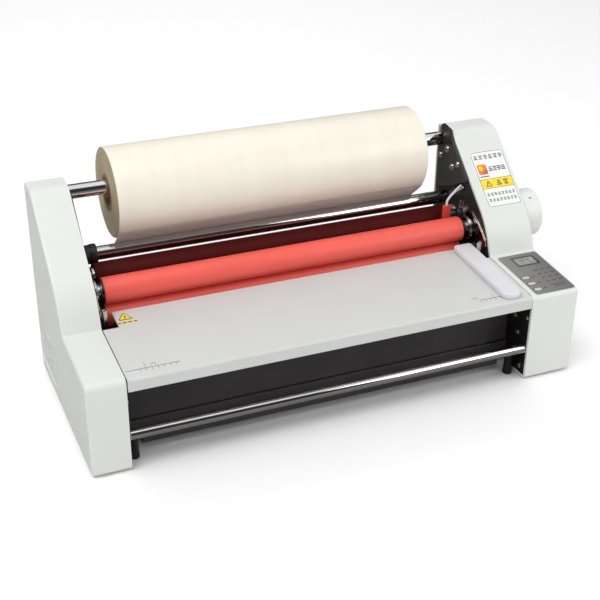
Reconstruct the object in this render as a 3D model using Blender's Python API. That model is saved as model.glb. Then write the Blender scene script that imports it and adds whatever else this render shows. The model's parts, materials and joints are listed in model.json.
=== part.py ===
"""A desktop hot roll laminator with a film roll on its supply shaft, as an assembly of separate pieces.

Everything is in metres, with +Z up. The machine's own coordinates, used by every constant below, are:
X = 0 midway between the frame plates, +X to the operator's right;
Y = 0 at the front of the side covers, +Y towards the back, the way the sheet travels;
Z = 0 at the bottom of the side covers.
The empty "laminator" carries those coordinates, and is shifted so that the world origin is under the
middle of the whole machine, on the floor.
"""

import math

import bmesh
import bpy
from mathutils import Matrix, Vector

# Fits
GAP = 0.0003  # between pieces that touch or nearly touch
RUNNING = 0.00025  # radial play around a turning journal

# Side covers: hollow shells that open towards the frame plates
INNER_FACE = 0.1874
LEFT_OUTER = -0.221
RIGHT_OUTER = 0.236
COVER_WALL = 0.0025
COVER_EDGE = 0.002
DEPTH = 0.191
DECK_FRONT = 0.086
DECK_END_Y = 0.076
DECK_END_Z = 0.091
BROW_Y = 0.0875
BROW_Z = 0.1195
TOP_START_Y = 0.1641
TOP_Z = 0.1865
DECK_ANGLE = math.atan2(DECK_END_Z - DECK_FRONT, DECK_END_Y)

# Frame plates and what hangs between them
PLATE_IN = 0.1868
PLATE_OUT = 0.1884
PLATE_REAR = 0.1838
PLATE_INSET = COVER_WALL + GAP  # the plates nest inside the covers' rims
BETWEEN = PLATE_IN - GAP
SHEET = 0.0015

# Rollers: a front pair with heaters inside and a rear pair that pulls
FRONT_Y = 0.1165
REAR_Y = 0.147
UPPER_Z = 0.106
ROLLER_R = 0.0118
ROLLER_PITCH = 2 * ROLLER_R + GAP
LOWER_Z = UPPER_Z - ROLLER_PITCH
SLEEVE_LEFT = -0.1756
SLEEVE_RIGHT = 0.1744
CORE_R = 0.0085
JOURNAL_R = 0.006
LAMP_BORE_R = 0.0046
LAMP_R = 0.0035
BEARING_R = 0.0105
LIFT = 0.002  # how far the upper pair rises when the pressure is released

# Gear train in the left cover: one drive gear turns both lower rollers, and they turn the upper ones
ROLLER_TEETH = 14
DRIVE_TEETH = 28
GEAR_OUT = -0.205
GEAR_IN = -0.197
PRESSURE_ANGLE = math.radians(20)
ROLLER_GEAR_R = ROLLER_PITCH / 2
MODULE = 2 * ROLLER_GEAR_R / ROLLER_TEETH
DRIVE_GEAR_R = MODULE * DRIVE_TEETH / 2
DRIVE_Y = (FRONT_Y + REAR_Y) / 2
DRIVE_Z = LOWER_Z - math.sqrt((ROLLER_GEAR_R + DRIVE_GEAR_R) ** 2 - (DRIVE_Y - FRONT_Y) ** 2)
DRIVE_SHAFT_R = 0.003

# Lift carriage: an arm outside each plate, joined by a bar that crosses the machine
ARM_IN = PLATE_OUT + GAP + 0.001
ARM_OUT = ARM_IN + 0.0035
TIE_BAR_Y = 0.162
TIE_BAR_Z = 0.056
TIE_BAR_R = 0.004

# Pressure knob on the right cover, and the cam behind it
KNOB_Y = 0.117
KNOB_Z = 0.111
KNOB_R = 0.0232
KNOB_OUT = 0.255
KNOB_SHAFT_R = 0.004
CAM_LOW = 0.006
CAM_HIGH = CAM_LOW + LIFT
CAM_IN = 0.1995
CAM_OUT = 0.207

# Film roll, on a shaft that drops into two open brackets
SHAFT_Y = 0.1813
SHAFT_R = 0.0065
ROLL_Z = 0.1683
ROLL_R = 0.041
ROLL_HALF = 0.151
CORE_IN_R = 0.0127
CORE_OUT_R = 0.0165
SHAFT_Z = ROLL_Z + CORE_IN_R - SHAFT_R - GAP
BRACKET_T = 0.0025

# Idler rod over the rear rollers
IDLER_Y = 0.1655
IDLER_Z = 0.1185
IDLER_R = 0.0063

SMALL_RADIUS = 0.006  # corners this small are drawn with fewer facets

FOOT_DROP = 0.002  # the feet hold the covers this far above the floor
FOOT_X = 0.1805
FOOT_R = 0.0044
CABLE_HOLE = (0.133, 0.1403)  # in the right plate, for the sensor's cable
CABLE_HOLE_R = 0.0028
LIP_Y = -0.001

# Whole machine: its box runs from the left cover to the knob, and from the table's lip to the film roll
BOX_X = (LEFT_OUTER + KNOB_OUT) / 2
BOX_Y = (LIP_Y + SHAFT_Y + ROLL_R) / 2


# ---------------------------------------------------------------- materials


def material(name, colour, roughness, metallic=0.0):
    made = bpy.data.materials.new(name)
    made.use_nodes = True
    shader = made.node_tree.nodes["Principled BSDF"]
    shader.inputs["Base Color"].default_value = (*colour, 1.0)
    shader.inputs["Roughness"].default_value = roughness
    shader.inputs["Metallic"].default_value = metallic
    made.diffuse_color = (*colour, 1.0)
    return made


# ---------------------------------------------------------------- outlines: lists of (first, second) points


def rounded(corners):
    """The outline through these corners, where a third value is the corner's radius."""
    points = []
    count = len(corners)
    for index, corner in enumerate(corners):
        here = Vector(corner[:2])
        radius = corner[2] if len(corner) > 2 else 0.0
        if radius == 0.0:
            points.append((here.x, here.y))
            continue
        before = (Vector(corners[index - 1][:2]) - here).normalized()
        after = (Vector(corners[(index + 1) % count][:2]) - here).normalized()
        half = before.angle(after) / 2
        centre = here + (before + after).normalized() * radius / math.sin(half)
        start = here + before * radius / math.tan(half) - centre
        end = here + after * radius / math.tan(half) - centre
        turn = math.atan2(start.x * end.y - start.y * end.x, start.dot(end))
        step_angle = math.radians(15 if radius > SMALL_RADIUS else 30)
        steps = max(2, round(abs(turn) / step_angle))
        for step in range(steps + 1):
            point = centre + Matrix.Rotation(turn * step / steps, 2) @ start
            points.append((point.x, point.y))
    return points


def inset(outline, distance):
    """The outline moved inwards by this distance, with as many points as before."""
    count = len(outline)
    area = sum(
        outline[i - 1][0] * outline[i][1] - outline[i][0] * outline[i - 1][1] for i in range(count)
    )
    side = 1 if area > 0 else -1
    moved = []
    for index in range(count):
        here = Vector(outline[index])
        into = (here - Vector(outline[index - 1])).normalized()
        out = (Vector(outline[(index + 1) % count]) - here).normalized()
        first = Vector((-into.y, into.x)) * side
        second = Vector((-out.y, out.x)) * side
        point = here + (first + second) * distance / (1 + first.dot(second))
        moved.append((point.x, point.y))
    return moved


def circle(y, z, radius, count=24):
    return [
        (
            y + radius * math.cos(2 * math.pi * i / count),
            z + radius * math.sin(2 * math.pi * i / count),
        )
        for i in range(count)
    ]


def slot_up(y, z, radius, rise):
    """A round hole drawn out upwards."""
    return rounded(
        [
            (y - radius, z - radius, radius * 0.999),
            (y + radius, z - radius, radius * 0.999),
            (y + radius, z + rise + radius, radius * 0.999),
            (y - radius, z + rise + radius, radius * 0.999),
        ]
    )


def oblong(first, second, width, height, radius):
    return rounded(
        [
            (first - width / 2, second - height / 2, radius),
            (first + width / 2, second - height / 2, radius),
            (first + width / 2, second + height / 2, radius),
            (first - width / 2, second + height / 2, radius),
        ]
    )


def gear_outline(teeth, phase):
    """Involute teeth around the origin, one of them centred on the phase angle."""
    pitch_r = MODULE * teeth / 2
    base_r = pitch_r * math.cos(PRESSURE_ANGLE)
    tip_r = pitch_r + 0.8 * MODULE
    root_r = pitch_r - 1.15 * MODULE
    half_tooth = 0.43 * math.pi / teeth
    at_pitch = math.tan(PRESSURE_ANGLE) - PRESSURE_ANGLE

    def half_width(radius):
        if radius <= base_r:
            return half_tooth + at_pitch
        roll = math.acos(base_r / radius)
        return half_tooth + at_pitch - (math.tan(roll) - roll)

    radii = [root_r, base_r, tip_r]
    points = []
    for tooth in range(teeth):
        middle = phase + 2 * math.pi * tooth / teeth
        flank = [(radius, middle - half_width(radius)) for radius in radii]
        flank += [(radius, middle + half_width(radius)) for radius in reversed(radii)]
        points += [(radius * math.cos(angle), radius * math.sin(angle)) for radius, angle in flank]
    return points


def meshing_phase(phase, teeth, other_teeth, direction):
    """The phase of a gear that meshes with a first gear and lies in this direction from it."""
    return direction + math.pi - (phase - direction) * teeth / other_teeth + math.pi / other_teeth


# ---------------------------------------------------------------- shapes, as bmeshes


def prism(outline, low, high, across="X"):
    """The outline stood up between two heights along X, Y or Z; it runs over the other two axes in order."""
    place = {
        "X": lambda a, b, c: (c, a, b),
        "Y": lambda a, b, c: (a, c, b),
        "Z": lambda a, b, c: (a, b, c),
    }[across]
    shape = bmesh.new()
    bottom = [shape.verts.new(place(a, b, low)) for a, b in outline]
    face = shape.faces.new(bottom)
    lifted = bmesh.ops.extrude_face_region(shape, geom=[face], use_keep_orig=True)
    top = [item for item in lifted["geom"] if isinstance(item, bmesh.types.BMVert)]
    bmesh.ops.translate(shape, verts=top, vec=place(0, 0, high - low))
    bmesh.ops.recalc_face_normals(shape, faces=shape.faces)
    return shape


def box(x0, x1, y0, y1, z0, z1):
    return prism([(y0, z0), (y1, z0), (y1, z1), (y0, z1)], x0, x1)


def turned(section, segments=24, closed=False):
    """A section of (x, radius) points spun around the X axis; a closed one makes a tube."""
    shape = bmesh.new()
    verts = [shape.verts.new((x, 0.0, radius)) for x, radius in section]
    edges = [shape.edges.new(pair) for pair in zip(verts, verts[1:])]
    if closed:
        edges.append(shape.edges.new((verts[-1], verts[0])))
    bmesh.ops.spin(
        shape,
        geom=verts + edges,
        axis=(1, 0, 0),
        cent=(0, 0, 0),
        angle=2 * math.pi,
        steps=segments,
    )
    bmesh.ops.remove_doubles(shape, verts=shape.verts, dist=1e-6)
    bmesh.ops.recalc_face_normals(shape, faces=shape.faces)
    return shape


def tube(x0, x1, inner, outer, segments=24):
    return turned([(x0, inner), (x0, outer), (x1, outer), (x1, inner)], segments, closed=True)


def rod(x0, x1, radius, chamfer=0.0005, segments=24):
    section = [(x0, 0.0), (x0, radius - chamfer), (x0 + chamfer, radius)]
    section += [(x1 - chamfer, radius), (x1, radius - chamfer), (x1, 0.0)]
    return turned(section, segments)


def moved(shape, x=0.0, y=0.0, z=0.0):
    bmesh.ops.translate(shape, verts=shape.verts, vec=(x, y, z))
    return shape


# ---------------------------------------------------------------- objects


def empty(name, parent, y=0.0, z=0.0, x=0.0):
    made = bpy.data.objects.new(name, None)
    bpy.context.collection.objects.link(made)
    made.parent = parent
    made.location = (x, y, z)
    return made


def piece(name, shape, look, parent):
    mesh = bpy.data.meshes.new(name)
    shape.to_mesh(mesh)
    shape.free()
    mesh.materials.append(look)
    mesh.shade_smooth()
    mesh.set_sharp_from_angle(angle=math.radians(30))
    made = bpy.data.objects.new(name, mesh)
    bpy.context.collection.objects.link(made)
    made.parent = parent
    return made


def combine(target, operation, shapes):
    """Cuts these shapes from the target, or joins them to it, with one Boolean for each shape.

    The side covers take the MANIFOLD solver, because EXACT turns the right one inside out.
    """
    solver = "MANIFOLD" if target.name.endswith("side_cover") else "EXACT"
    for index, shape in enumerate(shapes):
        mesh = bpy.data.meshes.new(f"{target.name}_tool_{index}")
        shape.to_mesh(mesh)
        shape.free()
        tool = bpy.data.objects.new(mesh.name, mesh)
        bpy.context.collection.objects.link(tool)
        tool.parent = target.parent
        tool.hide_render = True
        tool.display_type = "WIRE"
        modifier = target.modifiers.new(tool.name, "BOOLEAN")
        modifier.operation = operation
        modifier.solver = solver
        modifier.object = tool


def cut(target, *shapes):
    combine(target, "DIFFERENCE", shapes)


def join(target, *shapes):
    combine(target, "UNION", shapes)


# ---------------------------------------------------------------- side covers and frame


def side_outline(rear):
    """The stepped side profile as (y, z): deck in front, slope in the middle, flat top at the back."""
    return rounded(
        [
            (0.0, 0.0, 0.0034),
            (0.0, DECK_FRONT, 0.0055),
            (DECK_END_Y, DECK_END_Z, 0.002),
            (BROW_Y, BROW_Z, 0.070),
            (TOP_START_Y, TOP_Z, 0.020),
            (rear, TOP_Z, 0.0045),
            (rear, 0.0, 0.0034),
        ]
    )


def side_cover(name, outer_x, look, parent):
    """A shell with a rounded outer edge, closed on all sides but the one that meets the frame."""
    side = 1 if outer_x > 0 else -1
    outline = side_outline(DEPTH)
    rings = [(side * INNER_FACE, 0.0)]
    edge_steps = 2
    for step in range(edge_steps + 1):
        angle = math.pi / 2 * step / edge_steps
        x = outer_x - side * COVER_EDGE * (1 - math.sin(angle))
        rings.append((x, COVER_EDGE * (1 - math.cos(angle))))
    shape = bmesh.new()
    loops = [
        [shape.verts.new((x, y, z)) for y, z in inset(outline, distance)] for x, distance in rings
    ]
    inside = inset(outline, COVER_WALL)
    mouth = [shape.verts.new((side * INNER_FACE, y, z)) for y, z in inside]
    floor = [shape.verts.new((outer_x - side * COVER_WALL, y, z)) for y, z in inside]
    loops = [floor, mouth] + loops
    for first, second in zip(loops, loops[1:]):
        for index in range(len(outline)):
            shape.faces.new((first[index - 1], first[index], second[index], second[index - 1]))
    shape.faces.new(loops[0])
    shape.faces.new(loops[-1])
    bmesh.ops.recalc_face_normals(shape, faces=shape.faces)
    return piece(name, shape, look, parent)


def frame_plate(name, side, look, parent):
    plate = piece(
        name,
        prism(
            inset(side_outline(PLATE_REAR), PLATE_INSET),
            min(side * PLATE_IN, side * PLATE_OUT),
            max(side * PLATE_IN, side * PLATE_OUT),
        ),
        look,
        parent,
    )
    low = min(side * (PLATE_IN - 0.002), side * (PLATE_OUT + 0.002))
    high = low + PLATE_OUT - PLATE_IN + 0.004
    bearing_hole = BEARING_R + GAP
    journal_hole = JOURNAL_R + 2 * RUNNING
    holes = [
        circle(FRONT_Y, LOWER_Z, bearing_hole),
        slot_up(FRONT_Y, UPPER_Z, bearing_hole, LIFT),
        circle(REAR_Y, LOWER_Z, journal_hole),
        slot_up(REAR_Y, UPPER_Z, journal_hole, LIFT),
        slot_up(TIE_BAR_Y, TIE_BAR_Z, TIE_BAR_R + 2 * GAP, LIFT),
    ]
    if side < 0:
        holes.append(circle(DRIVE_Y, DRIVE_Z, DRIVE_SHAFT_R + 0.001))
    else:
        holes.append(circle(*CABLE_HOLE, CABLE_HOLE_R, 16))
    cut(plate, *[prism(hole, low, high) for hole in holes])
    return plate


def roll_bracket(name, side, look, parent):
    """A plate with an open seat for the supply shaft; the right one hooks over the shaft."""
    seat_r = SHAFT_R + 0.0004
    over = 150 if side > 0 else 160
    seat = [
        (
            SHAFT_Y + seat_r * math.cos(math.radians(angle)),
            SHAFT_Z + seat_r * math.sin(math.radians(angle)),
        )
        for angle in range(260, over - 1, -10)
    ]
    if side > 0:
        slot = [(0.1738, 0.1790), (0.1738, 0.1828, 0.0008), (0.1788, 0.1838, 0.0012)]
        finger = [(0.1796, 0.1886, 0.0022), (0.1758, 0.1912, 0.0022), (0.1610, 0.1892, 0.003)]
        front = slot + finger + [(0.1560, 0.1785), (0.1233, 0.1500, 0.0015), (0.1344, 0.1444)]
    else:
        front = [(0.1692, 0.1752, 0.003), (0.1380, 0.1425, 0.0015)]
    outline = rounded([(0.182, 0.1215)] + seat + front + [(0.1469, 0.1372)])
    low = min(side * (BETWEEN - BRACKET_T), side * BETWEEN)
    return piece(name, prism(outline, low, low + BRACKET_T), look, parent)


def feed_table(look, parent):
    """One bent sheet: a lip at the front, and a plane that rises gently to the rollers."""
    rise = math.tan(DECK_ANGLE)
    rear = 0.101
    top_front = DECK_FRONT
    section = rounded(
        [
            (LIP_Y, top_front - 0.011),
            (LIP_Y, top_front, 0.002),
            (rear, top_front + rise * rear),
            (rear, top_front + rise * rear - SHEET),
            (LIP_Y + SHEET, top_front - SHEET, 0.0008),
            (LIP_Y + SHEET, top_front - 0.011),
        ]
    )
    table = piece("feed_table", prism(section, -BETWEEN, BETWEEN), look, parent)
    notch = 0.1725
    cut(
        table,
        box(-0.190, -notch, DECK_END_Y, 0.110, 0.080, 0.100),
        box(notch, 0.190, DECK_END_Y, 0.110, 0.080, 0.100),
    )
    return table


def sheet_metal(looks, machine):
    half = BETWEEN - 0.0005
    base = [(0.024, 0.006), (0.024, 0.013), (0.0252, 0.013), (0.0252, 0.0072)]
    base += [(0.1768, 0.0072), (0.1768, 0.013), (0.178, 0.013), (0.178, 0.006)]
    piece("base_pan", prism(base, -0.1715, 0.1715), looks["dark_sheet"], machine)
    apron = [(0.035, 0.024), (0.035, 0.0845), (0.0362, 0.0845), (0.0362, 0.0252), (0.050, 0.0252)]
    apron.append((0.050, 0.024))
    piece("front_apron", prism(apron, -half, half), looks["dark_sheet"], machine)
    rear = [(0.180, 0.0145), (0.180, 0.0845), (0.165, 0.0872), (0.165, 0.086), (0.1788, 0.0835)]
    rear.append((0.1788, 0.0145))
    piece("rear_panel", prism(rear, -half, half), looks["dark_sheet"], machine)


def tie_rods_and_feet(looks, machine):
    rod_r = 0.0047
    for name, y, z in (("front_tie_rod", 0.006, 0.030), ("rear_tie_rod", 0.171, 0.028)):
        piece(name, moved(rod(-BETWEEN, BETWEEN, rod_r), y=y, z=z), looks["chrome"], machine)
    foot = [(-FOOT_DROP, 0.0), (-FOOT_DROP, FOOT_R), (0.018, FOOT_R * 0.88), (0.018, 0.0)]
    for row, y in (("front", 0.019), ("rear", 0.172)):
        for hand, x in (("left", -FOOT_X), ("right", FOOT_X)):
            shape = turned(foot, 20)
            bmesh.ops.rotate(
                shape, verts=shape.verts, cent=(0, 0, 0), matrix=Matrix.Rotation(-math.pi / 2, 3, "Y")
            )
            piece(f"{row}_{hand}_foot", moved(shape, x=x, y=y), looks["black_rubber"], machine)


# ---------------------------------------------------------------- rollers, gears and lift


def roller_core(name, heated, look, parent):
    """A steel roller body with a journal at each end; the heated ones are bored for a lamp."""
    left_end = GEAR_OUT - 0.001
    right_end = ARM_OUT + 0.0007
    body_left = SLEEVE_LEFT - 0.0024
    body_right = SLEEVE_RIGHT + 0.0036
    outer = [(left_end, JOURNAL_R), (body_left, JOURNAL_R), (body_left, CORE_R)]
    outer += [(body_right, CORE_R), (body_right, JOURNAL_R), (right_end, JOURNAL_R)]
    if heated:
        section = [(left_end, LAMP_BORE_R)] + outer + [(right_end, LAMP_BORE_R)]
        return piece(name, turned(section, closed=True), look, parent)
    return piece(name, turned([(left_end, 0.0)] + outer + [(right_end, 0.0)]), look, parent)


def roller_sleeve(name, look, parent):
    edge = 0.0012
    inner = CORE_R + GAP
    section = [(SLEEVE_LEFT, inner), (SLEEVE_LEFT, ROLLER_R - edge), (SLEEVE_LEFT + edge, ROLLER_R)]
    section += [(SLEEVE_RIGHT - edge, ROLLER_R), (SLEEVE_RIGHT, ROLLER_R - edge), (SLEEVE_RIGHT, inner)]
    return piece(name, turned(section, 32, closed=True), look, parent)


def roller_gear(name, phase, look, parent):
    gear = piece(name, prism(gear_outline(ROLLER_TEETH, phase), GEAR_OUT, GEAR_IN), look, parent)
    cut(gear, prism(circle(0, 0, JOURNAL_R + GAP), GEAR_OUT - 0.001, GEAR_IN + 0.001))
    return gear


def rollers(looks, machine, carriage):
    to_drive = math.atan2(DRIVE_Z - LOWER_Z, DRIVE_Y - FRONT_Y)
    from_drive = math.atan2(LOWER_Z - DRIVE_Z, REAR_Y - DRIVE_Y)
    up = math.pi / 2
    lower_front = up
    upper_front = meshing_phase(lower_front, ROLLER_TEETH, ROLLER_TEETH, up)
    drive = meshing_phase(lower_front, ROLLER_TEETH, DRIVE_TEETH, to_drive)
    lower_rear = meshing_phase(drive, DRIVE_TEETH, ROLLER_TEETH, from_drive)
    upper_rear = meshing_phase(lower_rear, ROLLER_TEETH, ROLLER_TEETH, up)
    for name, y, z, phase, parent in (
        ("upper_front", FRONT_Y, UPPER_Z, upper_front, carriage),
        ("upper_rear", REAR_Y, UPPER_Z, upper_rear, carriage),
        ("lower_front", FRONT_Y, LOWER_Z, lower_front, machine),
        ("lower_rear", REAR_Y, LOWER_Z, lower_rear, machine),
    ):
        axis = empty(f"{name}_roller_axis", parent, y, z)
        heated = "front" in name
        roller_core(f"{name}_roller_core", heated, looks["steel"], axis)
        sleeve = looks["coral_silicone"] if heated else looks["dark_silicone"]
        roller_sleeve(f"{name}_roller_sleeve", sleeve, axis)
        roller_gear(f"{name}_roller_gear", phase, looks["nylon"], axis)
        if not heated:
            continue
        lamp = moved(rod(GEAR_OUT - 0.005, 0.197, LAMP_R, segments=16), y=y, z=z)
        piece(f"{name.split('_')[0]}_heater_lamp", lamp, looks["lamp_glass"], parent)
        bearing_in = 0.183 if "lower" in name else 0.181
        for hand, side in (("left", -1), ("right", 1)):
            low, high = sorted((side * bearing_in, side * (PLATE_OUT + 0.001)))
            ring = moved(tube(low, high, JOURNAL_R + RUNNING, BEARING_R), y=y, z=z)
            piece(f"{name}_bearing_{hand}", ring, looks["bearing_steel"], parent)

    axis = empty("drive_gear_axis", machine, DRIVE_Y, DRIVE_Z)
    teeth = prism(gear_outline(DRIVE_TEETH, drive), GEAR_OUT, GEAR_IN)
    gear = piece("drive_gear", teeth, looks["nylon"], axis)
    shaft_end = -0.170
    join(gear, rod(GEAR_OUT - 0.002, shaft_end, DRIVE_SHAFT_R, segments=20))
    drive_motor(shaft_end, looks["motor_steel"], machine)


def drive_motor(shaft_end, look, parent):
    """A geared motor on the left plate's inner face: a gearbox and a smaller can, bored for the shaft."""
    gearbox_r = 0.020
    gearbox_end = -0.166
    can_r = 0.017
    can_end = -0.126
    edge = 0.002
    profile = [(-BETWEEN, 0.0), (-BETWEEN, gearbox_r), (gearbox_end, gearbox_r), (gearbox_end, can_r)]
    profile += [(can_end - edge, can_r), (can_end, can_r - edge), (can_end, 0.0)]
    motor = piece("drive_motor", moved(turned(profile, 28), y=DRIVE_Y, z=DRIVE_Z), look, parent)
    bore = rod(-BETWEEN - 0.002, shaft_end + 0.001, DRIVE_SHAFT_R + 0.0005, segments=20)
    cut(motor, moved(bore, y=DRIVE_Y, z=DRIVE_Z))


def lift_arm(name, side, look, parent):
    """The plate that carries one end of both upper rollers, with a leg down to the tie bar."""
    low, high = sorted((side * ARM_IN, side * ARM_OUT))
    leg_front = TIE_BAR_Y - 0.0055
    leg_rear = TIE_BAR_Y + 0.0055
    outline = rounded(
        [
            (FRONT_Y - 0.0125, UPPER_Z - 0.0125, 0.003),
            (FRONT_Y - 0.0125, UPPER_Z + 0.0115, 0.004),
            (leg_rear, UPPER_Z + 0.0115, 0.004),
            (leg_rear, TIE_BAR_Z - 0.006, 0.004),
            (leg_front, TIE_BAR_Z - 0.006, 0.004),
            (leg_front, UPPER_Z - 0.0125, 0.002),
        ]
    )
    arm = piece(name, prism(outline, low, high), look, parent)
    holes = [circle(y, UPPER_Z, JOURNAL_R + RUNNING) for y in (FRONT_Y, REAR_Y)]
    holes.append(circle(TIE_BAR_Y, TIE_BAR_Z, TIE_BAR_R + GAP))
    if side > 0:
        shelf = KNOB_Z + CAM_LOW + 0.0007
        web = box(ARM_IN, ARM_OUT, KNOB_Y - 0.008, KNOB_Y + 0.008, UPPER_Z + 0.009, shelf + 0.003)
        join(arm, web, box(ARM_OUT - 0.001, 0.208, KNOB_Y - 0.008, KNOB_Y + 0.008, shelf, shelf + 0.003))
    cut(arm, *[prism(hole, low - 0.001, high + 0.001) for hole in holes])
    return arm


def lift_carriage(looks, machine):
    carriage = empty("lift_carriage", machine)
    lift_arm("left_lift_arm", -1, looks["zinc"], carriage)
    lift_arm("right_lift_arm", 1, looks["zinc"], carriage)
    bar_end = ARM_OUT + 0.0012
    bar = moved(rod(-bar_end, bar_end, TIE_BAR_R, segments=20), y=TIE_BAR_Y, z=TIE_BAR_Z)
    piece("lift_tie_bar", bar, looks["steel"], carriage)
    return carriage


def pressure_knob(looks, machine):
    axis = empty("pressure_knob_axis", machine, KNOB_Y, KNOB_Z)
    inner = RIGHT_OUTER + 0.0004
    edge = 0.002
    bore = KNOB_SHAFT_R + GAP
    section = [(inner, 0.0), (inner, KNOB_R), (KNOB_OUT - edge, KNOB_R)]
    section += [(KNOB_OUT - edge / 3, KNOB_R - edge / 3), (KNOB_OUT, KNOB_R - edge), (KNOB_OUT, 0.0)]
    knob = piece("pressure_knob", turned(section, 48), looks["white_plastic"], axis)
    cut(knob, rod(inner - 0.002, KNOB_OUT - 0.003, bore))
    steps = 9
    lobe = []
    for step in range(steps + 1):
        angle = math.pi / 2 * (1 - step / steps)
        radius = CAM_LOW + LIFT * step / steps
        lobe.append((radius * math.cos(angle), radius * math.sin(angle)))
    for step in range(1, 12):
        angle = -math.pi / 4 - (5 * math.pi / 4) * step / 12
        radius = CAM_HIGH - LIFT * step / 12
        lobe.append((radius * math.cos(angle), radius * math.sin(angle)))
    cam = piece("pressure_cam", prism(lobe, CAM_IN, CAM_OUT), looks["nylon"], axis)
    join(cam, rod(CAM_IN + 0.001, KNOB_OUT - 0.0035, KNOB_SHAFT_R))


# ---------------------------------------------------------------- film roll and idler


def film_supply(looks, machine):
    cradle = empty("supply_shaft_axis", machine, SHAFT_Y, SHAFT_Z)
    end = BETWEEN - GAP
    piece("supply_shaft", rod(-end, end, SHAFT_R, 0.001), looks["chrome"], cradle)
    roll = empty("film_roll_axis", cradle, z=ROLL_Z - SHAFT_Z)
    piece("film_core", tube(-ROLL_HALF, ROLL_HALF, CORE_IN_R, CORE_OUT_R, 32), looks["cardboard"], roll)
    film = tube(-ROLL_HALF, ROLL_HALF, CORE_OUT_R + GAP, ROLL_R, 64)
    piece("film_roll", film, looks["film"], roll)


def idler(looks, machine):
    axis = empty("idler_rod_axis", machine, IDLER_Y, IDLER_Z)
    end = BETWEEN - GAP
    piece("idler_rod", rod(-end, end, IDLER_R), looks["chrome"], axis)
    bushing = moved(tube(-BETWEEN, -0.168, IDLER_R + GAP, 0.0092), y=IDLER_Y, z=IDLER_Z)
    piece("idler_bushing", bushing, looks["black_plastic"], machine)


# ---------------------------------------------------------------- panel, guide and electrics


def control_panel(looks, machine):
    """The panel and its parts lie in the right deck, so they are built on its slope."""
    deck = empty("right_deck", machine, z=DECK_FRONT)
    deck.rotation_euler = (DECK_ANGLE, 0.0, 0.0)
    middle_x = 0.213
    middle_y = 0.0373
    width = 0.0396
    length = 0.0674
    proud = 0.0004
    cover = bpy.data.objects["right_side_cover"]
    opening = prism(
        oblong(middle_x, middle_y, width + 2 * GAP, length + 2 * GAP, 0.002), -0.010, 0.010, "Z"
    )
    bmesh.ops.rotate(
        opening, verts=opening.verts, cent=(0, 0, 0), matrix=Matrix.Rotation(DECK_ANGLE, 3, "X")
    )
    cut(cover, moved(opening, z=DECK_FRONT))

    panel = piece(
        "control_panel",
        prism(oblong(middle_x, middle_y, width, length, 0.0018), -0.0014, proud, "Z"),
        looks["panel_grey"],
        deck,
    )
    window = (0.215, 0.0585)
    cut(panel, prism(oblong(*window, 0.024, 0.016, 0.001), -0.010, 0.010, "Z"))
    glass = prism(oblong(*window, 0.0234, 0.0154, 0.0008), -0.0014, proud, "Z")
    piece("display_window", glass, looks["smoked_window"], deck)
    key_x = 0.1985
    for name, y in (("heat_key", 0.031), ("forward_key", 0.0205), ("reverse_key", 0.010)):
        cut(panel, prism(oblong(key_x, y, 0.0080, 0.0048, 0.0022), -0.010, 0.010, "Z"))
        axis = empty(f"{name}_axis", deck, y, 0.0, key_x)
        cap = prism(oblong(0, 0, 0.0074, 0.0042, 0.0019), -0.0020, proud + 0.0004, "Z")
        piece(name, cap, looks["key_white"], axis)
    board = prism(oblong(middle_x, middle_y, 0.037, 0.062, 0.001), -0.0085, -0.0069, "Z")
    piece("circuit_board", board, looks["board_green"], deck)
    guide = empty("paper_guide_slide", machine, z=DECK_FRONT)
    guide.rotation_euler = (DECK_ANGLE, 0.0, 0.0)
    left = 0.1598
    right = 0.1788
    front = 0.003
    rear = 0.100
    bar = rounded([(left, front, 0.008), (right, front, 0.008), (right, rear, 0.001), (left, rear, 0.001)])
    piece("paper_guide", prism(bar, GAP, 0.0058, "Z"), looks["milky_plastic"], guide)


def rear_electrics(looks, machine):
    """The mains inlet and the rocker switch, in openings in the right cover's back wall."""
    middle_x = 0.212
    inlet_z = 0.034
    switch_z = 0.070
    inlet_sizes = ((0.031, 0.024), (0.027, 0.0195), (0.0235, 0.0155))
    switch_sizes = ((0.021, 0.027), (0.018, 0.024), (0.0150, 0.0210))
    rear_fitting("mains_inlet", middle_x, inlet_z, *inlet_sizes, looks["black_plastic"], machine)
    rear_fitting("switch_bezel", middle_x, switch_z, *switch_sizes, looks["black_plastic"], machine)
    rocker_switch(middle_x, switch_z, looks["switch_red"], machine)


def rear_fitting(name, x, z, flange, body, socket, look, parent):
    """A fitting through the right cover's back wall; flange, body and socket are (width, height) pairs."""
    corner = 0.0015
    flange_in = DEPTH + GAP
    flange_out = flange_in + 0.002
    body_in = 0.172 if name == "mains_inlet" else 0.178
    socket_in = body_in + 0.003
    plate = prism(oblong(x, z, *flange, 2 * corner), flange_in, flange_out, "Y")
    fitting = piece(name, plate, look, parent)
    join(fitting, prism(oblong(x, z, *body, corner), body_in, flange_in + 0.001, "Y"))
    cut(fitting, prism(oblong(x, z, *socket, corner), socket_in, DEPTH + 0.010, "Y"))
    opening = oblong(x, z, body[0] + 2 * GAP, body[1] + 2 * GAP, corner)
    cut(bpy.data.objects["right_side_cover"], prism(opening, DEPTH - 0.007, DEPTH + 0.005, "Y"))


def rocker_switch(middle_x, switch_z, look, machine):
    """The rocker, which tips about an axis along X just inside the bezel."""
    pivot_y = 0.1895
    axis = empty("switch_rocker_axis", machine, pivot_y, switch_z)
    half_width = 0.0070
    half = 0.0095
    depth = 0.0035
    rocker = rounded(
        [
            (-0.0030, -0.0060, 0.001),
            (depth - 0.0012, -half, 0.0008),
            (depth + 0.0012, -half + 0.0004, 0.0008),
            (depth + 0.0002, 0.0),
            (depth + 0.0026, half - 0.0010, 0.0008),
            (depth - 0.0006, half, 0.0008),
            (-0.0030, 0.0060, 0.001),
        ]
    )
    piece("switch_rocker", prism(rocker, middle_x - half_width, middle_x + half_width), look, axis)


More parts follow.
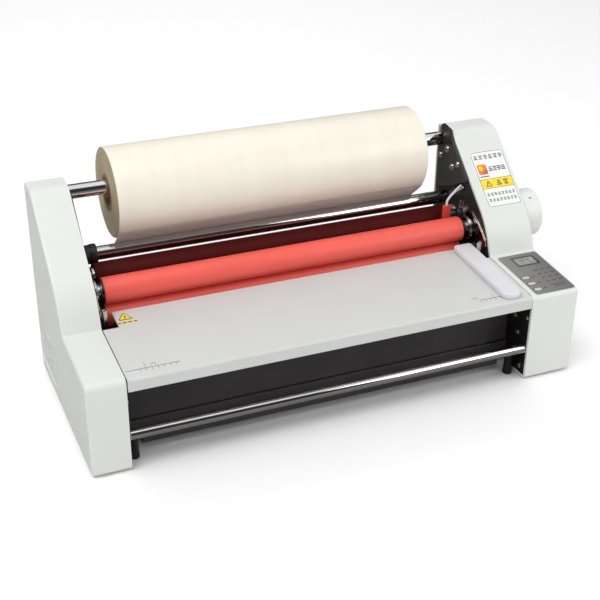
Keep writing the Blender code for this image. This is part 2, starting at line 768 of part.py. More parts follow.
def cooling_fan(looks, machine):
    """An axial fan behind slots in the left cover, blowing over the motor and the gears."""
    middle = (0.156, 0.030)
    slot_pitch = 0.0072
    slots = [oblong(middle[0], middle[1] + slot_pitch * row, 0.034, 0.0032, 0.0015) for row in range(-2, 3)]
    cover = bpy.data.objects["left_side_cover"]
    cut(cover, *[prism(slot, LEFT_OUTER - 0.002, LEFT_OUTER + 0.005) for slot in slots])
    outer = LEFT_OUTER + COVER_WALL + 0.0007
    inner = outer + 0.0080
    size = 0.040
    bore_r = 0.0185
    housing = prism(oblong(*middle, size, size, 0.003), outer, inner)
    frame = piece("fan_frame", housing, looks["black_plastic"], machine)
    cut(frame, prism(circle(*middle, bore_r, 32), outer - 0.001, inner + 0.001))
    strut_in = inner - 0.0015
    reach = bore_r + 0.0002
    half = 0.0012
    join(
        frame,
        prism(circle(*middle, 0.0075, 20), strut_in, inner - 0.0001),
        prism(oblong(*middle, 2 * reach, 2 * half, 0.0002), strut_in, inner - 0.0002),
        prism(oblong(*middle, 2 * half, 2 * reach, 0.0002), strut_in, inner - 0.0003),
    )
    axis = empty("fan_rotor_axis", machine, *middle)
    blades = 7
    hub_r = 0.0080
    tip_r = 0.0176
    outline = []
    for blade in range(blades):
        start = 2 * math.pi * blade / blades
        width = 0.62 * 2 * math.pi / blades
        sweep = 0.25
        outline += [
            (radius * math.cos(angle), radius * math.sin(angle))
            for radius, angle in (
                (hub_r, start),
                (tip_r, start + sweep),
                (tip_r, start + sweep + width / 2),
                (tip_r, start + sweep + width),
                (hub_r, start + width),
            )
        ]
    piece("fan_rotor", prism(outline, outer + 0.0008, inner - 0.0020), looks["black_plastic"], axis)


def temperature_sensor(looks, machine):
    """A woven pad that leans on the back of the upper front roller, on a spring strip, with its cable."""
    pad_left = 0.163
    pad = box(pad_left, 0.172, 0.1290, 0.1312, 0.110, 0.126)
    sensor = piece("temperature_sensor", pad, looks["red_weave"], machine)
    strip = box(pad_left + 0.001, BETWEEN, 0.1305, 0.1317, 0.1205, 0.1250)
    join(sensor, strip)
    path = bpy.data.curves.new("sensor_cable", "CURVE")
    path.dimensions = "3D"
    path.bevel_depth = 0.0013
    path.bevel_resolution = 2
    path.resolution_u = 8
    path.use_fill_caps = True
    spline = path.splines.new("BEZIER")
    places = [
        ((0.1675, 0.1301, 0.1277), (0.0, 0.0, 0.005)),
        ((0.1740, 0.1322, 0.1368), (0.003, 0.0004, 0.0022)),
        ((BETWEEN - GAP, *CABLE_HOLE), (0.004, 0.0, 0.0005)),
    ]
    spline.bezier_points.add(len(places) - 1)
    for point, (place, handle) in zip(spline.bezier_points, places):
        point.co = place
        point.handle_left = Vector(place) - Vector(handle)
        point.handle_right = Vector(place) + Vector(handle)
    path.materials.append(looks["white_cable"])
    cable = bpy.data.objects.new("sensor_cable", path)
    bpy.context.collection.objects.link(cable)
    cable.parent = machine


def main():
    for leftover in list(bpy.data.objects):
        bpy.data.objects.remove(leftover)
    looks = {
        "white_plastic": material("white_plastic", (0.80, 0.81, 0.79), 0.38),
        "black_plate": material("black_plate", (0.012, 0.012, 0.013), 0.45, 0.4),
        "bracket_grey": material("bracket_grey", (0.06, 0.06, 0.062), 0.5, 0.6),
        "table_grey": material("table_grey", (0.66, 0.66, 0.65), 0.4),
        "dark_sheet": material("dark_sheet", (0.05, 0.045, 0.045), 0.5, 0.3),
        "chrome": material("chrome", (0.75, 0.75, 0.76), 0.08, 1.0),
        "steel": material("steel", (0.50, 0.50, 0.52), 0.3, 1.0),
        "bearing_steel": material("bearing_steel", (0.30, 0.30, 0.31), 0.22, 1.0),
        "zinc": material("zinc", (0.55, 0.56, 0.55), 0.35, 1.0),
        "motor_steel": material("motor_steel", (0.35, 0.35, 0.36), 0.35, 0.9),
        "coral_silicone": material("coral_silicone", (0.80, 0.13, 0.08), 0.45),
        "dark_silicone": material("dark_silicone", (0.12, 0.008, 0.006), 0.45),
        "nylon": material("nylon", (0.75, 0.73, 0.66), 0.45),
        "lamp_glass": material("lamp_glass", (0.85, 0.80, 0.72), 0.15),
        "cardboard": material("cardboard", (0.30, 0.19, 0.10), 0.85),
        "film": material("film", (0.86, 0.83, 0.72), 0.30),
        "black_plastic": material("black_plastic", (0.02, 0.02, 0.02), 0.45),
        "black_rubber": material("black_rubber", (0.015, 0.015, 0.015), 0.75),
        "panel_grey": material("panel_grey", (0.19, 0.19, 0.18), 0.4),
        "smoked_window": material("smoked_window", (0.10, 0.10, 0.09), 0.15),
        "key_white": material("key_white", (0.55, 0.55, 0.54), 0.4),
        "board_green": material("board_green", (0.02, 0.16, 0.06), 0.45),
        "milky_plastic": material("milky_plastic", (0.78, 0.78, 0.84), 0.3),
        "switch_red": material("switch_red", (0.45, 0.02, 0.02), 0.3),
        "red_weave": material("red_weave", (0.45, 0.04, 0.03), 0.8),
        "white_cable": material("white_cable", (0.80, 0.80, 0.78), 0.5),
    }
    machine = empty("laminator", None, -BOX_Y, FOOT_DROP, -BOX_X)
    side_cover("left_side_cover", LEFT_OUTER, looks["white_plastic"], machine)
    side_cover("right_side_cover", RIGHT_OUTER, looks["white_plastic"], machine)
    for hand, side in (("left", -1), ("right", 1)):
        frame_plate(f"{hand}_frame_plate", side, looks["black_plate"], machine)
        roll_bracket(f"{hand}_roll_bracket", side, looks["bracket_grey"], machine)
    cut(
        bpy.data.objects["right_side_cover"],
        moved(rod(0.230, 0.240, KNOB_SHAFT_R + 2 * GAP), y=KNOB_Y, z=KNOB_Z),
    )
    feed_table(looks["table_grey"], machine)
    sheet_metal(looks, machine)
    tie_rods_and_feet(looks, machine)
    carriage = lift_carriage(looks, machine)
    rollers(looks, machine, carriage)
    pressure_knob(looks, machine)
    film_supply(looks, machine)
    idler(looks, machine)
    rear_electrics(looks, machine)
    control_panel(looks, machine)
    cooling_fan(looks, machine)
    temperature_sensor(looks, machine)


main()
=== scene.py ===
import json
import math
import random

import bmesh
import bpy
from mathutils import Matrix, Vector

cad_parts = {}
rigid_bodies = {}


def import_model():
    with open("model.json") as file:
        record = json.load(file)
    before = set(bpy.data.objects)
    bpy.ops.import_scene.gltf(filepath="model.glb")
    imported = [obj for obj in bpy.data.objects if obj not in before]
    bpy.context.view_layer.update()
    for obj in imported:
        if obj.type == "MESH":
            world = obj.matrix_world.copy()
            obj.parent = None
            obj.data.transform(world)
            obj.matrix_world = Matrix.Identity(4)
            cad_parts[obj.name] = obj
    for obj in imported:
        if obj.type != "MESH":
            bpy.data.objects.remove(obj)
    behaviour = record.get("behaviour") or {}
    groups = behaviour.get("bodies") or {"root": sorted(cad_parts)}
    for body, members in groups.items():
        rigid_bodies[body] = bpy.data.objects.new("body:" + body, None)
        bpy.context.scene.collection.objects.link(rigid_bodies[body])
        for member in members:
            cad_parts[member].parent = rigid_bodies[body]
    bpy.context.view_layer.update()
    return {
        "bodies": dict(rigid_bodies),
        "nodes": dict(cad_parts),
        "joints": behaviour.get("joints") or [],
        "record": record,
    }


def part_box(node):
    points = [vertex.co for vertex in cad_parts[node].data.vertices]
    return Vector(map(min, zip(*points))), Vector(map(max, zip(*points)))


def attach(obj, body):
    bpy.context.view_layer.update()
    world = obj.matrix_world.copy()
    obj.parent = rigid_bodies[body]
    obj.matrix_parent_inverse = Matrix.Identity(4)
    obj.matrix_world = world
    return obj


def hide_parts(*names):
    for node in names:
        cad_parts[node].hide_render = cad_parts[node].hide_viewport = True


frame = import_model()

# ---- where things are
#
# Pieces are modelled in the machine's own coordinates: X = 0 midway between the frame plates,
# Y = 0 at the front of the side covers, Z = 0 at their bottom. HOME carries those to the frame's.

LEFT_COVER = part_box("left_side_cover")
LEFT_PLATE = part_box("left_frame_plate")
RIGHT_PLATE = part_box("right_frame_plate")
HOME = Vector(((LEFT_PLATE[1].x + RIGHT_PLATE[0].x) / 2, LEFT_COVER[0].y, LEFT_COVER[0].z))


def machine_box(node):
    low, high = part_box(node)
    return low - HOME, high - HOME


def axis_of(node):
    """The (y, z) middle and the radius of a round node that lies along X."""
    low, high = machine_box(node)
    return (low.y + high.y) / 2, (low.z + high.z) / 2, (high.z - low.z) / 2


# The covers' stepped side profile
DEPTH = machine_box("left_side_cover")[1].y
TOP_Z = machine_box("left_side_cover")[1].z
DECK_FRONT = 0.086
DECK_END = (0.076, 0.091)
BROW = (0.0875, 0.1195)
BROW_R = 0.070
TOP_START_Y = 0.1641
TOP_R = 0.020
DECK_ANGLE = math.atan2(DECK_END[1] - DECK_FRONT, DECK_END[0])
SLOPE_ANGLE = math.atan2(TOP_Z - BROW[1], TOP_START_Y - BROW[0])
BROW_TURN = math.atan2(BROW[1] - DECK_END[1], BROW[0] - DECK_END[0]) - SLOPE_ANGLE
BROW_REACH = BROW_R * math.tan(BROW_TURN / 2)
COVER_WALL = 0.0025
COVER_EDGE = 0.0022
INNER_FACE = machine_box("right_side_cover")[0].x
OUTER_LEFT = machine_box("left_side_cover")[0].x
OUTER_RIGHT = machine_box("right_side_cover")[1].x
PLATE_IN = machine_box("right_frame_plate")[0].x
PLATE_OUT = machine_box("right_frame_plate")[1].x
PLATE_INSET = 0.0028
PLATE_REAR = machine_box("right_frame_plate")[1].y + PLATE_INSET
BETWEEN = machine_box("feed_table")[1].x

FRONT_Y, UPPER_Z, ROLLER_R = axis_of("upper_front_roller_sleeve")
REAR_Y = axis_of("upper_rear_roller_sleeve")[0]
LOWER_Z = axis_of("lower_front_roller_sleeve")[1]
IDLER_Y, IDLER_Z, IDLER_R = axis_of("idler_rod")
SHAFT_Y, SHAFT_Z, SHAFT_R = axis_of("supply_shaft")
ROLL_Y, ROLL_Z, ROLL_R = axis_of("film_roll")
KNOB_Y, KNOB_Z, KNOB_R = axis_of("pressure_knob")

PRINT_LIFT = 0.00005  # how far ink stands on what it is printed on
PAST = 0.002  # how far a cutting shape reaches past what it cuts
FIT = 0.0003  # the gap around parts that turn in or on one another
HANDS = ((-1, "left"), (1, "right"))

random.seed(7)

# ---- outlines


def rounded(corners, step=7.0):
    """The outline through these corners, where a third value is the corner's radius; step is in degrees."""
    points = []
    count = len(corners)
    for index, corner in enumerate(corners):
        here = Vector(corner[:2])
        radius = corner[2] if len(corner) > 2 else 0.0
        if radius == 0.0:
            points.append((here.x, here.y))
            continue
        before = (Vector(corners[index - 1][:2]) - here).normalized()
        after = (Vector(corners[(index + 1) % count][:2]) - here).normalized()
        half = before.angle(after) / 2
        centre = here + (before + after).normalized() * radius / math.sin(half)
        start = here + before * radius / math.tan(half) - centre
        end = here + after * radius / math.tan(half) - centre
        turn = math.atan2(start.x * end.y - start.y * end.x, start.dot(end))
        steps = max(3, round(abs(turn) / math.radians(step)))
        for number in range(steps + 1):
            point = centre + Matrix.Rotation(turn * number / steps, 2) @ start
            points.append((point.x, point.y))
    return points


def inset(outline, distance):
    """The outline moved inwards by this distance, with as many points as before."""
    count = len(outline)
    area = sum(
        outline[i - 1][0] * outline[i][1] - outline[i][0] * outline[i - 1][1] for i in range(count)
    )
    side = 1 if area > 0 else -1
    moved = []
    for index in range(count):
        here = Vector(outline[index])
        into = (here - Vector(outline[index - 1])).normalized()
        out = (Vector(outline[(index + 1) % count]) - here).normalized()
        first = Vector((-into.y, into.x)) * side
        second = Vector((-out.y, out.x)) * side
        point = here + (first + second) * distance / (1 + first.dot(second))
        moved.append((point.x, point.y))
    return moved


def circle(first, second, radius, count=48):
    return [
        (
            first + radius * math.cos(2 * math.pi * i / count),
            second + radius * math.sin(2 * math.pi * i / count)
        )
        for i in range(count)
    ]


def oblong(first, second, width, height, radius, step=12.0):
    half_w = width / 2
    half_h = height / 2
    return rounded(
        [
            (first - half_w, second - half_h, radius), (first + half_w, second - half_h, radius),
            (first + half_w, second + half_h, radius), (first - half_w, second + half_h, radius)
        ],
        step
    )


def side_profile(rear=DEPTH):
    return rounded(
        [
            (0.0, 0.0, 0.0034), (0.0, DECK_FRONT, 0.0055), (*DECK_END, 0.002), (*BROW, BROW_R),
            (TOP_START_Y, TOP_Z, TOP_R), (rear, TOP_Z, 0.0045), (rear, 0.0, 0.0034)
        ],
        4.0
    )


# ---- meshes


def place(across, a, b, c):
    """The point at (a, b) of an outline and at c along the axis that the outline is stood up on."""
    return {"X": (c, a, b), "Y": (a, c, b), "Z": (a, b, c)}[across]


def prism(outline, low, high, across="X"):
    shape = bmesh.new()
    bottom = [shape.verts.new(place(across, a, b, low)) for a, b in outline]
    top = [shape.verts.new(place(across, a, b, high)) for a, b in outline]
    shape.faces.new(bottom)
    shape.faces.new(reversed(top))
    for index in range(len(outline)):
        shape.faces.new((bottom[index - 1], top[index - 1], top[index], bottom[index]))
    bmesh.ops.recalc_face_normals(shape, faces=shape.faces)
    return shape


def loft(loops, capped=True):
    """Faces from each loop of points to the next; the ends are closed off, or else joined to each other."""
    shape = bmesh.new()
    rings = [[shape.verts.new(point) for point in loop] for loop in loops]
    pairs = list(zip(rings, rings[1:]))
    if not capped:
        pairs.append((rings[-1], rings[0]))
    for first, second in pairs:
        for index in range(len(first)):
            shape.faces.new((first[index - 1], first[index], second[index], second[index - 1]))
    if capped:
        shape.faces.new(rings[0])
        shape.faces.new(rings[-1])
    bmesh.ops.recalc_face_normals(shape, faces=shape.faces)
    return shape


def stacked(outline, rings):
    """A solid whose outline is set in by a distance at each height, from (distance, height) rings."""
    return loft([[(a, b, z) for a, b in inset(outline, distance)] for distance, z in rings])


def hoop(outline, line, low, high, across="X"):
    """A band that follows an outline, from it to this far inside."""
    inner = inset(outline, line)
    loops = []
    for points, along in ((outline, low), (outline, high), (inner, high), (inner, low)):
        loops.append([place(across, a, b, along) for a, b in points])
    return loft(loops, capped=False)


def flat(outline):
    """A print of this outline, as thin as ink, around Z = 0."""
    return prism(outline, 0.0, PRINT_LIFT, "Z")


def turned(section, segments=72, closed=False, across="X"):
    """A section of (along, radius) points spun about an axis; a closed section makes a tube."""
    shape = bmesh.new()
    rings = []
    for along, radius in section:
        if radius == 0.0:
            rings.append([shape.verts.new(place(across, 0.0, 0.0, along))])
            continue
        around = circle(0, 0, radius, segments)
        rings.append([shape.verts.new(place(across, a, b, along)) for a, b in around])
    pairs = list(zip(rings, rings[1:]))
    if closed:
        pairs.append((rings[-1], rings[0]))
    for first, second in pairs:
        for index in range(segments):
            corners = [first[index - 1], first[index]] if len(first) > 1 else [first[0]]
            corners += [second[index], second[index - 1]] if len(second) > 1 else [second[0]]
            if len(corners) > 2:
                shape.faces.new(corners)
    bmesh.ops.recalc_face_normals(shape, faces=shape.faces)
    return shape


def filleted(section, radius, step=22.5):
    """An open section of (along, radius) points with its inner corners rounded off."""
    points = [section[0]]
    for before, here, after in zip(section, section[1:], section[2:]):
        a = Vector(before) - Vector(here)
        b = Vector(after) - Vector(here)
        reach = min(radius, a.length * 0.45, b.length * 0.45)
        half = a.angle(b) / 2
        if half > math.radians(85) or reach <= 0:
            points.append(here)
            continue
        centre = Vector(here) + (a.normalized() + b.normalized()).normalized() * reach / math.cos(half)
        start = Vector(here) + a.normalized() * reach - centre
        end = Vector(here) + b.normalized() * reach - centre
        turn = math.atan2(start.x * end.y - start.y * end.x, start.dot(end))
        steps = max(2, round(abs(turn) / math.radians(step)))
        for number in range(steps + 1):
            point = centre + Matrix.Rotation(turn * number / steps, 2) @ start
            points.append((point.x, point.y))
    points.append(section[-1])
    return points


def rod_shape(x0, x1, radius, edge=0.0006, segments=72):
    section = [(x0, 0.0), (x0, radius), (x1, radius), (x1, 0.0)]
    return turned(filleted(section, edge), segments)


def ring_shape(x0, x1, inner, outer, edge=0.0005, segments=72):
    middle = (inner + outer) / 2
    section = [(x0, middle), (x0, outer), (x1, outer), (x1, inner), (x0, inner), (x0, middle)]
    return turned(filleted(section, edge)[:-1], segments, closed=True)


def moved(shape, x=0.0, y=0.0, z=0.0):
    bmesh.ops.translate(shape, verts=shape.verts, vec=(x, y, z))
    return shape


def turned_by(shape, angle, axis):
    bmesh.ops.rotate(shape, verts=shape.verts, cent=(0, 0, 0), matrix=Matrix.Rotation(angle, 3, axis))
    return shape


def mesh_from(name, shape):
    mesh = bpy.data.meshes.new(name)
    shape.to_mesh(mesh)
    shape.free()
    return mesh


def gathered(shapes):
    """Several shapes as one."""
    whole = bmesh.new()
    for shape in shapes:
        copy = mesh_from("copy", shape)
        whole.from_mesh(copy)
        bpy.data.meshes.remove(copy)
    return whole


def on_slope(shape, y, z, angle):
    """A shape modelled flat around Z = 0, laid on a plane that rises towards the back from (y, z)."""
    return moved(turned_by(shape, angle, "X"), y=y, z=z)


def on_deck(shape):
    return on_slope(shape, 0.0, DECK_FRONT, DECK_ANGLE)


SLOPE_FOOT = (BROW[0] + BROW_REACH * math.cos(SLOPE_ANGLE), BROW[1] + BROW_REACH * math.sin(SLOPE_ANGLE))


def on_cover_slope(shape):
    return on_slope(shape, *SLOPE_FOOT, SLOPE_ANGLE)


# ---- pieces


def crisp(mesh, angle=32.0):
    mesh.shade_smooth()
    mesh.set_sharp_from_angle(angle=math.radians(angle))


def rounded_edges(made, width):
    bevel = made.modifiers.new("rounded_edges", "BEVEL")
    bevel.width = width
    bevel.segments = 3
    bevel.limit_method = "ANGLE"
    bevel.angle_limit = math.radians(35)
    even = made.modifiers.new("even_shading", "WEIGHTED_NORMAL")
    even.keep_sharp = True


def linked(name, data):
    """A new object in the scene."""
    made = bpy.data.objects.new(name, data)
    bpy.context.collection.objects.link(made)
    return made


def piece(name, shape, look, replaces=(), soft=0.0, body="chassis"):
    """A piece in machine coordinates that rides on a body.

    Soft is the width of the rounded edges.
    """
    made = linked(name, mesh_from(name, shape))
    made.data.materials.append(LOOKS[look])
    crisp(made.data)
    made.location = HOME
    if soft:
        rounded_edges(made, soft)
    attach(made, body)
    if replaces:
        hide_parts(*replaces)
    return made


def subtract(target, shape):
    """Cuts a shape, given in the target's own coordinates, out of an object that has no modifiers."""
    cutter = linked("cutter", mesh_from("cutter", shape))
    cutter.location = target.location
    modifier = target.modifiers.new("cut", "BOOLEAN")
    modifier.operation = "DIFFERENCE"
    modifier.solver = "MANIFOLD"
    modifier.object = cutter
    bpy.context.view_layer.update()
    graph = bpy.context.evaluated_depsgraph_get()
    finished = bpy.data.meshes.new_from_object(target.evaluated_get(graph))
    target.modifiers.clear()
    target.data = finished
    bpy.data.objects.remove(cutter)


def cut(target, *shapes):
    """Cuts these shapes out of a piece, ahead of its rounded edges."""
    widths = [modifier.width for modifier in target.modifiers if modifier.type == "BEVEL"]
    target.modifiers.clear()
    for shape in shapes:
        subtract(target, shape)
    crisp(target.data)
    for width in widths:
        rounded_edges(target, width)


# ---- materials

# The Mix node keeps its colour sockets beside those for other types, so they are found by index
MIX_FACTOR_AND_COLOURS = (0, 6, 7)
MIX_COLOUR_RESULT = 2


def fill_ramp(color_ramp, stops):
    """Sets a colour ramp's (position, colour) stops."""
    elements = color_ramp.elements
    while len(elements) < len(stops):
        elements.new(0.5)
    for element, (position, colour) in zip(elements, stops):
        element.position = position
        element.color = (*colour, 1.0)


class Look:
    """A material with a Principled shader and helpers that add procedural detail to it."""

    def __init__(self, name, colour, roughness, metallic=0.0):
        self.material = bpy.data.materials.new(name)
        self.material.use_nodes = True
        self.nodes = self.material.node_tree.nodes
        self.links = self.material.node_tree.links
        self.shader = self.nodes["Principled BSDF"]
        self.shader.inputs["Base Color"].default_value = (*colour, 1.0)
        self.shader.inputs["Roughness"].default_value = roughness
        self.shader.inputs["Metallic"].default_value = metallic
        self.colour = colour
        self.roughness = roughness
        self.place = self.add("ShaderNodeTexCoord").outputs["Object"]
        self.material.diffuse_color = (*colour, 1.0)

    def add(self, kind, **settings):
        node = self.nodes.new(kind)
        for key, value in settings.items():
            setattr(node, key, value)
        return node

    def link(self, source, target):
        self.links.new(source, target)

    def set(self, **values):
        for key, value in values.items():
            self.shader.inputs[key.replace("_", " ")].default_value = value
        return self

    def stretched(self, scale):
        """The piece's coordinates, stretched by three factors."""
        mapping = self.add("ShaderNodeMapping")
        mapping.inputs["Scale"].default_value = scale
        self.link(self.place, mapping.inputs["Vector"])
        return mapping.outputs["Vector"]

    def noise(self, scale, stretch=(1, 1, 1), detail=4.0, rough=0.55):
        node = self.add("ShaderNodeTexNoise")
        node.inputs["Scale"].default_value = scale
        node.inputs["Detail"].default_value = detail
        node.inputs["Roughness"].default_value = rough
        self.link(self.stretched(stretch), node.inputs["Vector"])
        return node.outputs["Fac"]

    def ramp(self, source, stops):
        """A colour ramp over (position, colour) stops."""
        node = self.add("ShaderNodeValToRGB")
        fill_ramp(node.color_ramp, stops)
        self.link(source, node.inputs["Fac"])
        return node.outputs["Color"]

    def scaled(self, source, low, high, start=0.3, end=0.7):
        node = self.add("ShaderNodeMapRange")
        node.inputs["From Min"].default_value = start
        node.inputs["From Max"].default_value = end
        node.inputs["To Min"].default_value = low
        node.inputs["To Max"].default_value = high
        self.link(source, node.inputs["Value"])
        return node.outputs["Result"]

    def mixed(self, factor, first, second, blend="MIX"):
        node = self.add("ShaderNodeMix", data_type="RGBA", blend_type=blend)
        sockets = [node.inputs[index] for index in MIX_FACTOR_AND_COLOURS]
        for socket, value in zip(sockets, (factor, first, second)):
            if isinstance(value, tuple):
                socket.default_value = (*value, 1.0)
            elif isinstance(value, float):
                socket.default_value = value
            else:
                self.link(value, socket)
        return node.outputs[MIX_COLOUR_RESULT]

    def colour_from(self, source):
        self.link(source, self.shader.inputs["Base Color"])
        return self

    def mottled(self, scale, share, stretch=(1, 1, 1)):
        """Varies the colour up and down by this share."""
        dark = tuple(channel * (1 - share) for channel in self.colour)
        light = tuple(min(1.0, channel * (1 + share)) for channel in self.colour)
        return self.colour_from(self.ramp(self.noise(scale, stretch), [(0.3, dark), (0.7, light)]))

    def worn(self, scale, spread, stretch=(1, 1, 1)):
        """Varies the roughness around its value by this spread."""
        source = self.noise(scale, stretch)
        around = self.scaled(source, self.roughness - spread, self.roughness + spread)
        self.link(around, self.shader.inputs["Roughness"])
        return self

    def bumped(self, height, distance, strength=1.0):
        node = self.add("ShaderNodeBump")
        node.inputs["Distance"].default_value = distance
        node.inputs["Strength"].default_value = strength
        self.link(height, node.inputs["Height"])
        previous = self.shader.inputs["Normal"].links
        if previous:
            self.link(previous[0].from_socket, node.inputs["Normal"])
        self.link(node.outputs["Normal"], self.shader.inputs["Normal"])
        return self

    def grained(self, scale, distance, stretch=(1, 1, 1), strength=0.6):
        return self.bumped(self.noise(scale, stretch, detail=2.0), distance, strength)

    def radius_from(self, y, z):
        """Distance from an axis along X, for rings on turned and wound pieces."""
        offset = self.add("ShaderNodeVectorMath", operation="SUBTRACT")
        offset.inputs[1].default_value = (0.0, y, z)
        self.link(self.place, offset.inputs[0])
        flat = self.add("ShaderNodeVectorMath", operation="MULTIPLY")
        flat.inputs[1].default_value = (0.0, 1.0, 1.0)
        self.link(offset.outputs["Vector"], flat.inputs[0])
        length = self.add("ShaderNodeVectorMath", operation="LENGTH")
        self.link(flat.outputs["Vector"], length.inputs[0])
        return length.outputs["Value"]

    def rings(self, y, z, scale, detail=3.0):
        node = self.add("ShaderNodeTexNoise", noise_dimensions="1D")
        node.inputs["Scale"].default_value = scale
        node.inputs["Detail"].default_value = detail
        self.link(self.radius_from(y, z), node.inputs["W"])
        return node.outputs["Fac"]

    def wave(self, direction, scale, distortion, stretch=None):
        node = self.add("ShaderNodeTexWave", wave_type="BANDS", bands_direction=direction)
        node.inputs["Scale"].default_value = scale
        node.inputs["Distortion"].default_value = distortion
        self.link(self.stretched(stretch) if stretch else self.place, node.inputs["Vector"])
        return node.outputs["Fac"]

    def along(self, axis):
        node = self.add("ShaderNodeSeparateXYZ")
        self.link(self.place, node.inputs["Vector"])
        return node.outputs[axis]


# ---- the looks of each material


def casing_look(name="casing_plastic", colour=(0.675, 0.70, 0.665)):
    look = Look(name, colour, 0.40)
    look.mottled(7.0, 0.018)
    look.worn(45.0, 0.07)
    look.grained(900.0, 0.00004)
    look.grained(18.0, 0.0008, strength=0.12)
    return look.material


def powder_coat(name, colour, roughness, metallic=0.0, share=0.12, pits=0.00006):
    look = Look(name, colour, roughness, metallic)
    look.mottled(30.0, share)
    look.worn(120.0, 0.08)
    look.grained(1100.0, pits)
    return look.material


def ground_steel(name, colour, roughness, lines=0.000004):
    """Round stock: fine lines run around it, and there are faint handling marks."""
    look = Look(name, colour, roughness, 1.0)
    look.mottled(25.0, 0.05, (1.0, 0.4, 0.4))
    look.worn(60.0, roughness * 0.4, (3.0, 1.0, 1.0))
    if lines:
        look.grained(400.0, lines, (12.0, 0.05, 0.05))
    return look.material


def plated_sheet(name, colour, roughness):
    """Zinc plate: cloudy patches with faint warm and cool tints."""
    look = Look(name, colour, roughness, 1.0)
    warm = tuple(c * f for c, f in zip(colour, (1.06, 1.0, 0.86)))
    cool = tuple(c * f for c, f in zip(colour, (0.86, 0.93, 1.02)))
    look.colour_from(look.ramp(look.noise(55.0), [(0.32, cool), (0.5, colour), (0.68, warm)]))
    look.worn(90.0, 0.09)
    look.grained(500.0, 0.00002)
    return look.material


def silicone(name, colour, roughness, sheen=0.15):
    look = Look(name, colour, roughness)
    look.mottled(60.0, 0.05, (0.3, 1.0, 1.0))
    look.worn(80.0, 0.06)
    look.grained(1500.0, 0.00003)
    look.grained(150.0, 0.00003, (4.0, 0.1, 0.1), 0.5)
    look.set(Coat_Weight=sheen, Coat_Roughness=0.35, Specular_IOR_Level=0.5 if sheen else 0.12)
    return look.material


def film_look():
    """Tightly wound clear film over a pale liner: faint bands around it and streaks along it."""
    look = Look("wound_film", (0.86, 0.82, 0.70), 0.36)
    bands = look.noise(90.0, (1.0, 0.02, 0.02), detail=3.0)
    streaks = look.noise(55.0, (0.03, 1.0, 1.0), detail=3.0)
    pale = look.ramp(bands, [(0.35, (0.800, 0.750, 0.650)), (0.65, (0.820, 0.775, 0.675))])
    look.colour_from(look.mixed(look.scaled(streaks, 0.0, 0.3), pale, (0.825, 0.79, 0.70)))
    look.bumped(bands, 0.00005, 0.15)
    look.bumped(streaks, 0.00003, 0.1)
    look.set(Coat_Weight=0.15, Coat_Roughness=0.25, Subsurface_Weight=0.1, Subsurface_Scale=0.004)
    return look.material


def film_web_look():
    """One layer of the film: milky and silky, and a little light comes through it; its pink tint is a
    painted reflection of the coral roller.
    """
    # The pinkish base and streak colours are the film's ivory with a painted reflection of the coral roller
    look = Look("film_layer_with_painted_coral_reflection", (0.80, 0.72, 0.66), 0.35)
    streaks = look.noise(60.0, (0.03, 1.0, 1.0), detail=3.0)
    look.colour_from(look.ramp(streaks, [(0.35, (0.78, 0.69, 0.63)), (0.65, (0.82, 0.75, 0.69))]))
    look.set(Transmission_Weight=0.25, IOR=1.2)
    return look.material


def film_end_look():
    """The roll's end: hundreds of layer edges, tan where they are seen on edge."""
    look = Look("film_layer_edges", (0.48, 0.38, 0.22), 0.6)
    layers = look.rings(ROLL_Y, ROLL_Z, 5200.0, 5.0)
    broad = look.rings(ROLL_Y, ROLL_Z, 420.0, 2.0)
    fine = look.ramp(
        layers, [(0.3, (0.32, 0.25, 0.15)), (0.55, (0.42, 0.34, 0.22)), (0.75, (0.52, 0.43, 0.30))]
    )
    look.colour_from(look.mixed(look.scaled(broad, 0.0, 0.45), fine, (0.46, 0.38, 0.26)))
    look.bumped(layers, 0.0001, 0.7)
    return look.material


def cardboard_look():
    look = Look("core_board", (0.21, 0.125, 0.065), 0.88)
    fibres = look.noise(700.0, (0.25, 1.0, 1.0), detail=8.0, rough=0.7)
    look.colour_from(look.ramp(fibres, [(0.3, (0.13, 0.075, 0.038)), (0.7, (0.27, 0.17, 0.09))]))
    look.bumped(look.wave("X", 9.0, 0.6, (1.0, 0.35, 0.35)), 0.0001, 0.3)
    look.bumped(fibres, 0.00008, 0.7)
    return look.material


def moulded(name, colour, roughness, share=0.06, grain=0.00003):
    look = Look(name, colour, roughness)
    look.mottled(40.0, share)
    look.worn(90.0, 0.06)
    look.grained(1300.0, grain)
    return look.material


def milky_look():
    look = Look("milky_plastic", (0.665, 0.665, 0.70), 0.34)
    look.mottled(14.0, 0.004)
    look.worn(70.0, 0.02)
    look.grained(500.0, 0.000005)
    look.set(Subsurface_Weight=0.2, Subsurface_Scale=0.003, Coat_Weight=0.1, Coat_Roughness=0.25)
    return look.material


def panel_look():
    """The printed membrane: grey, darker towards the operator's right, with a fine matte emboss."""
    look = Look("membrane_film", (0.20, 0.20, 0.195), 0.42)
    across = look.scaled(look.along("X"), 0.0, 0.8, 0.196, 0.233)
    shade = look.mixed(across, (0.215, 0.213, 0.21), (0.125, 0.124, 0.12))
    speckle = look.scaled(look.noise(1800.0), 0.0, 0.25)
    look.colour_from(look.mixed(speckle, shade, (0.12, 0.12, 0.118)))
    look.grained(1500.0, 0.00003)
    return look.material


def window_look():
    look = Look("smoked_window", (0.060, 0.062, 0.058), 0.10)
    look.mottled(30.0, 0.1)
    look.worn(50.0, 0.04)
    look.set(Coat_Weight=0.6, Coat_Roughness=0.05)
    return look.material


def display_look():
    """The liquid crystal face behind the window, a grey green with a faint row of dots."""
    look = Look("display_face", (0.30, 0.31, 0.275), 0.35)
    check = look.add("ShaderNodeTexChecker")
    check.inputs["Scale"].default_value = 2600.0
    look.link(look.place, check.inputs["Vector"])
    look.colour_from(look.mixed(check.outputs["Fac"], (0.30, 0.31, 0.275), (0.27, 0.28, 0.245)))
    return look.material


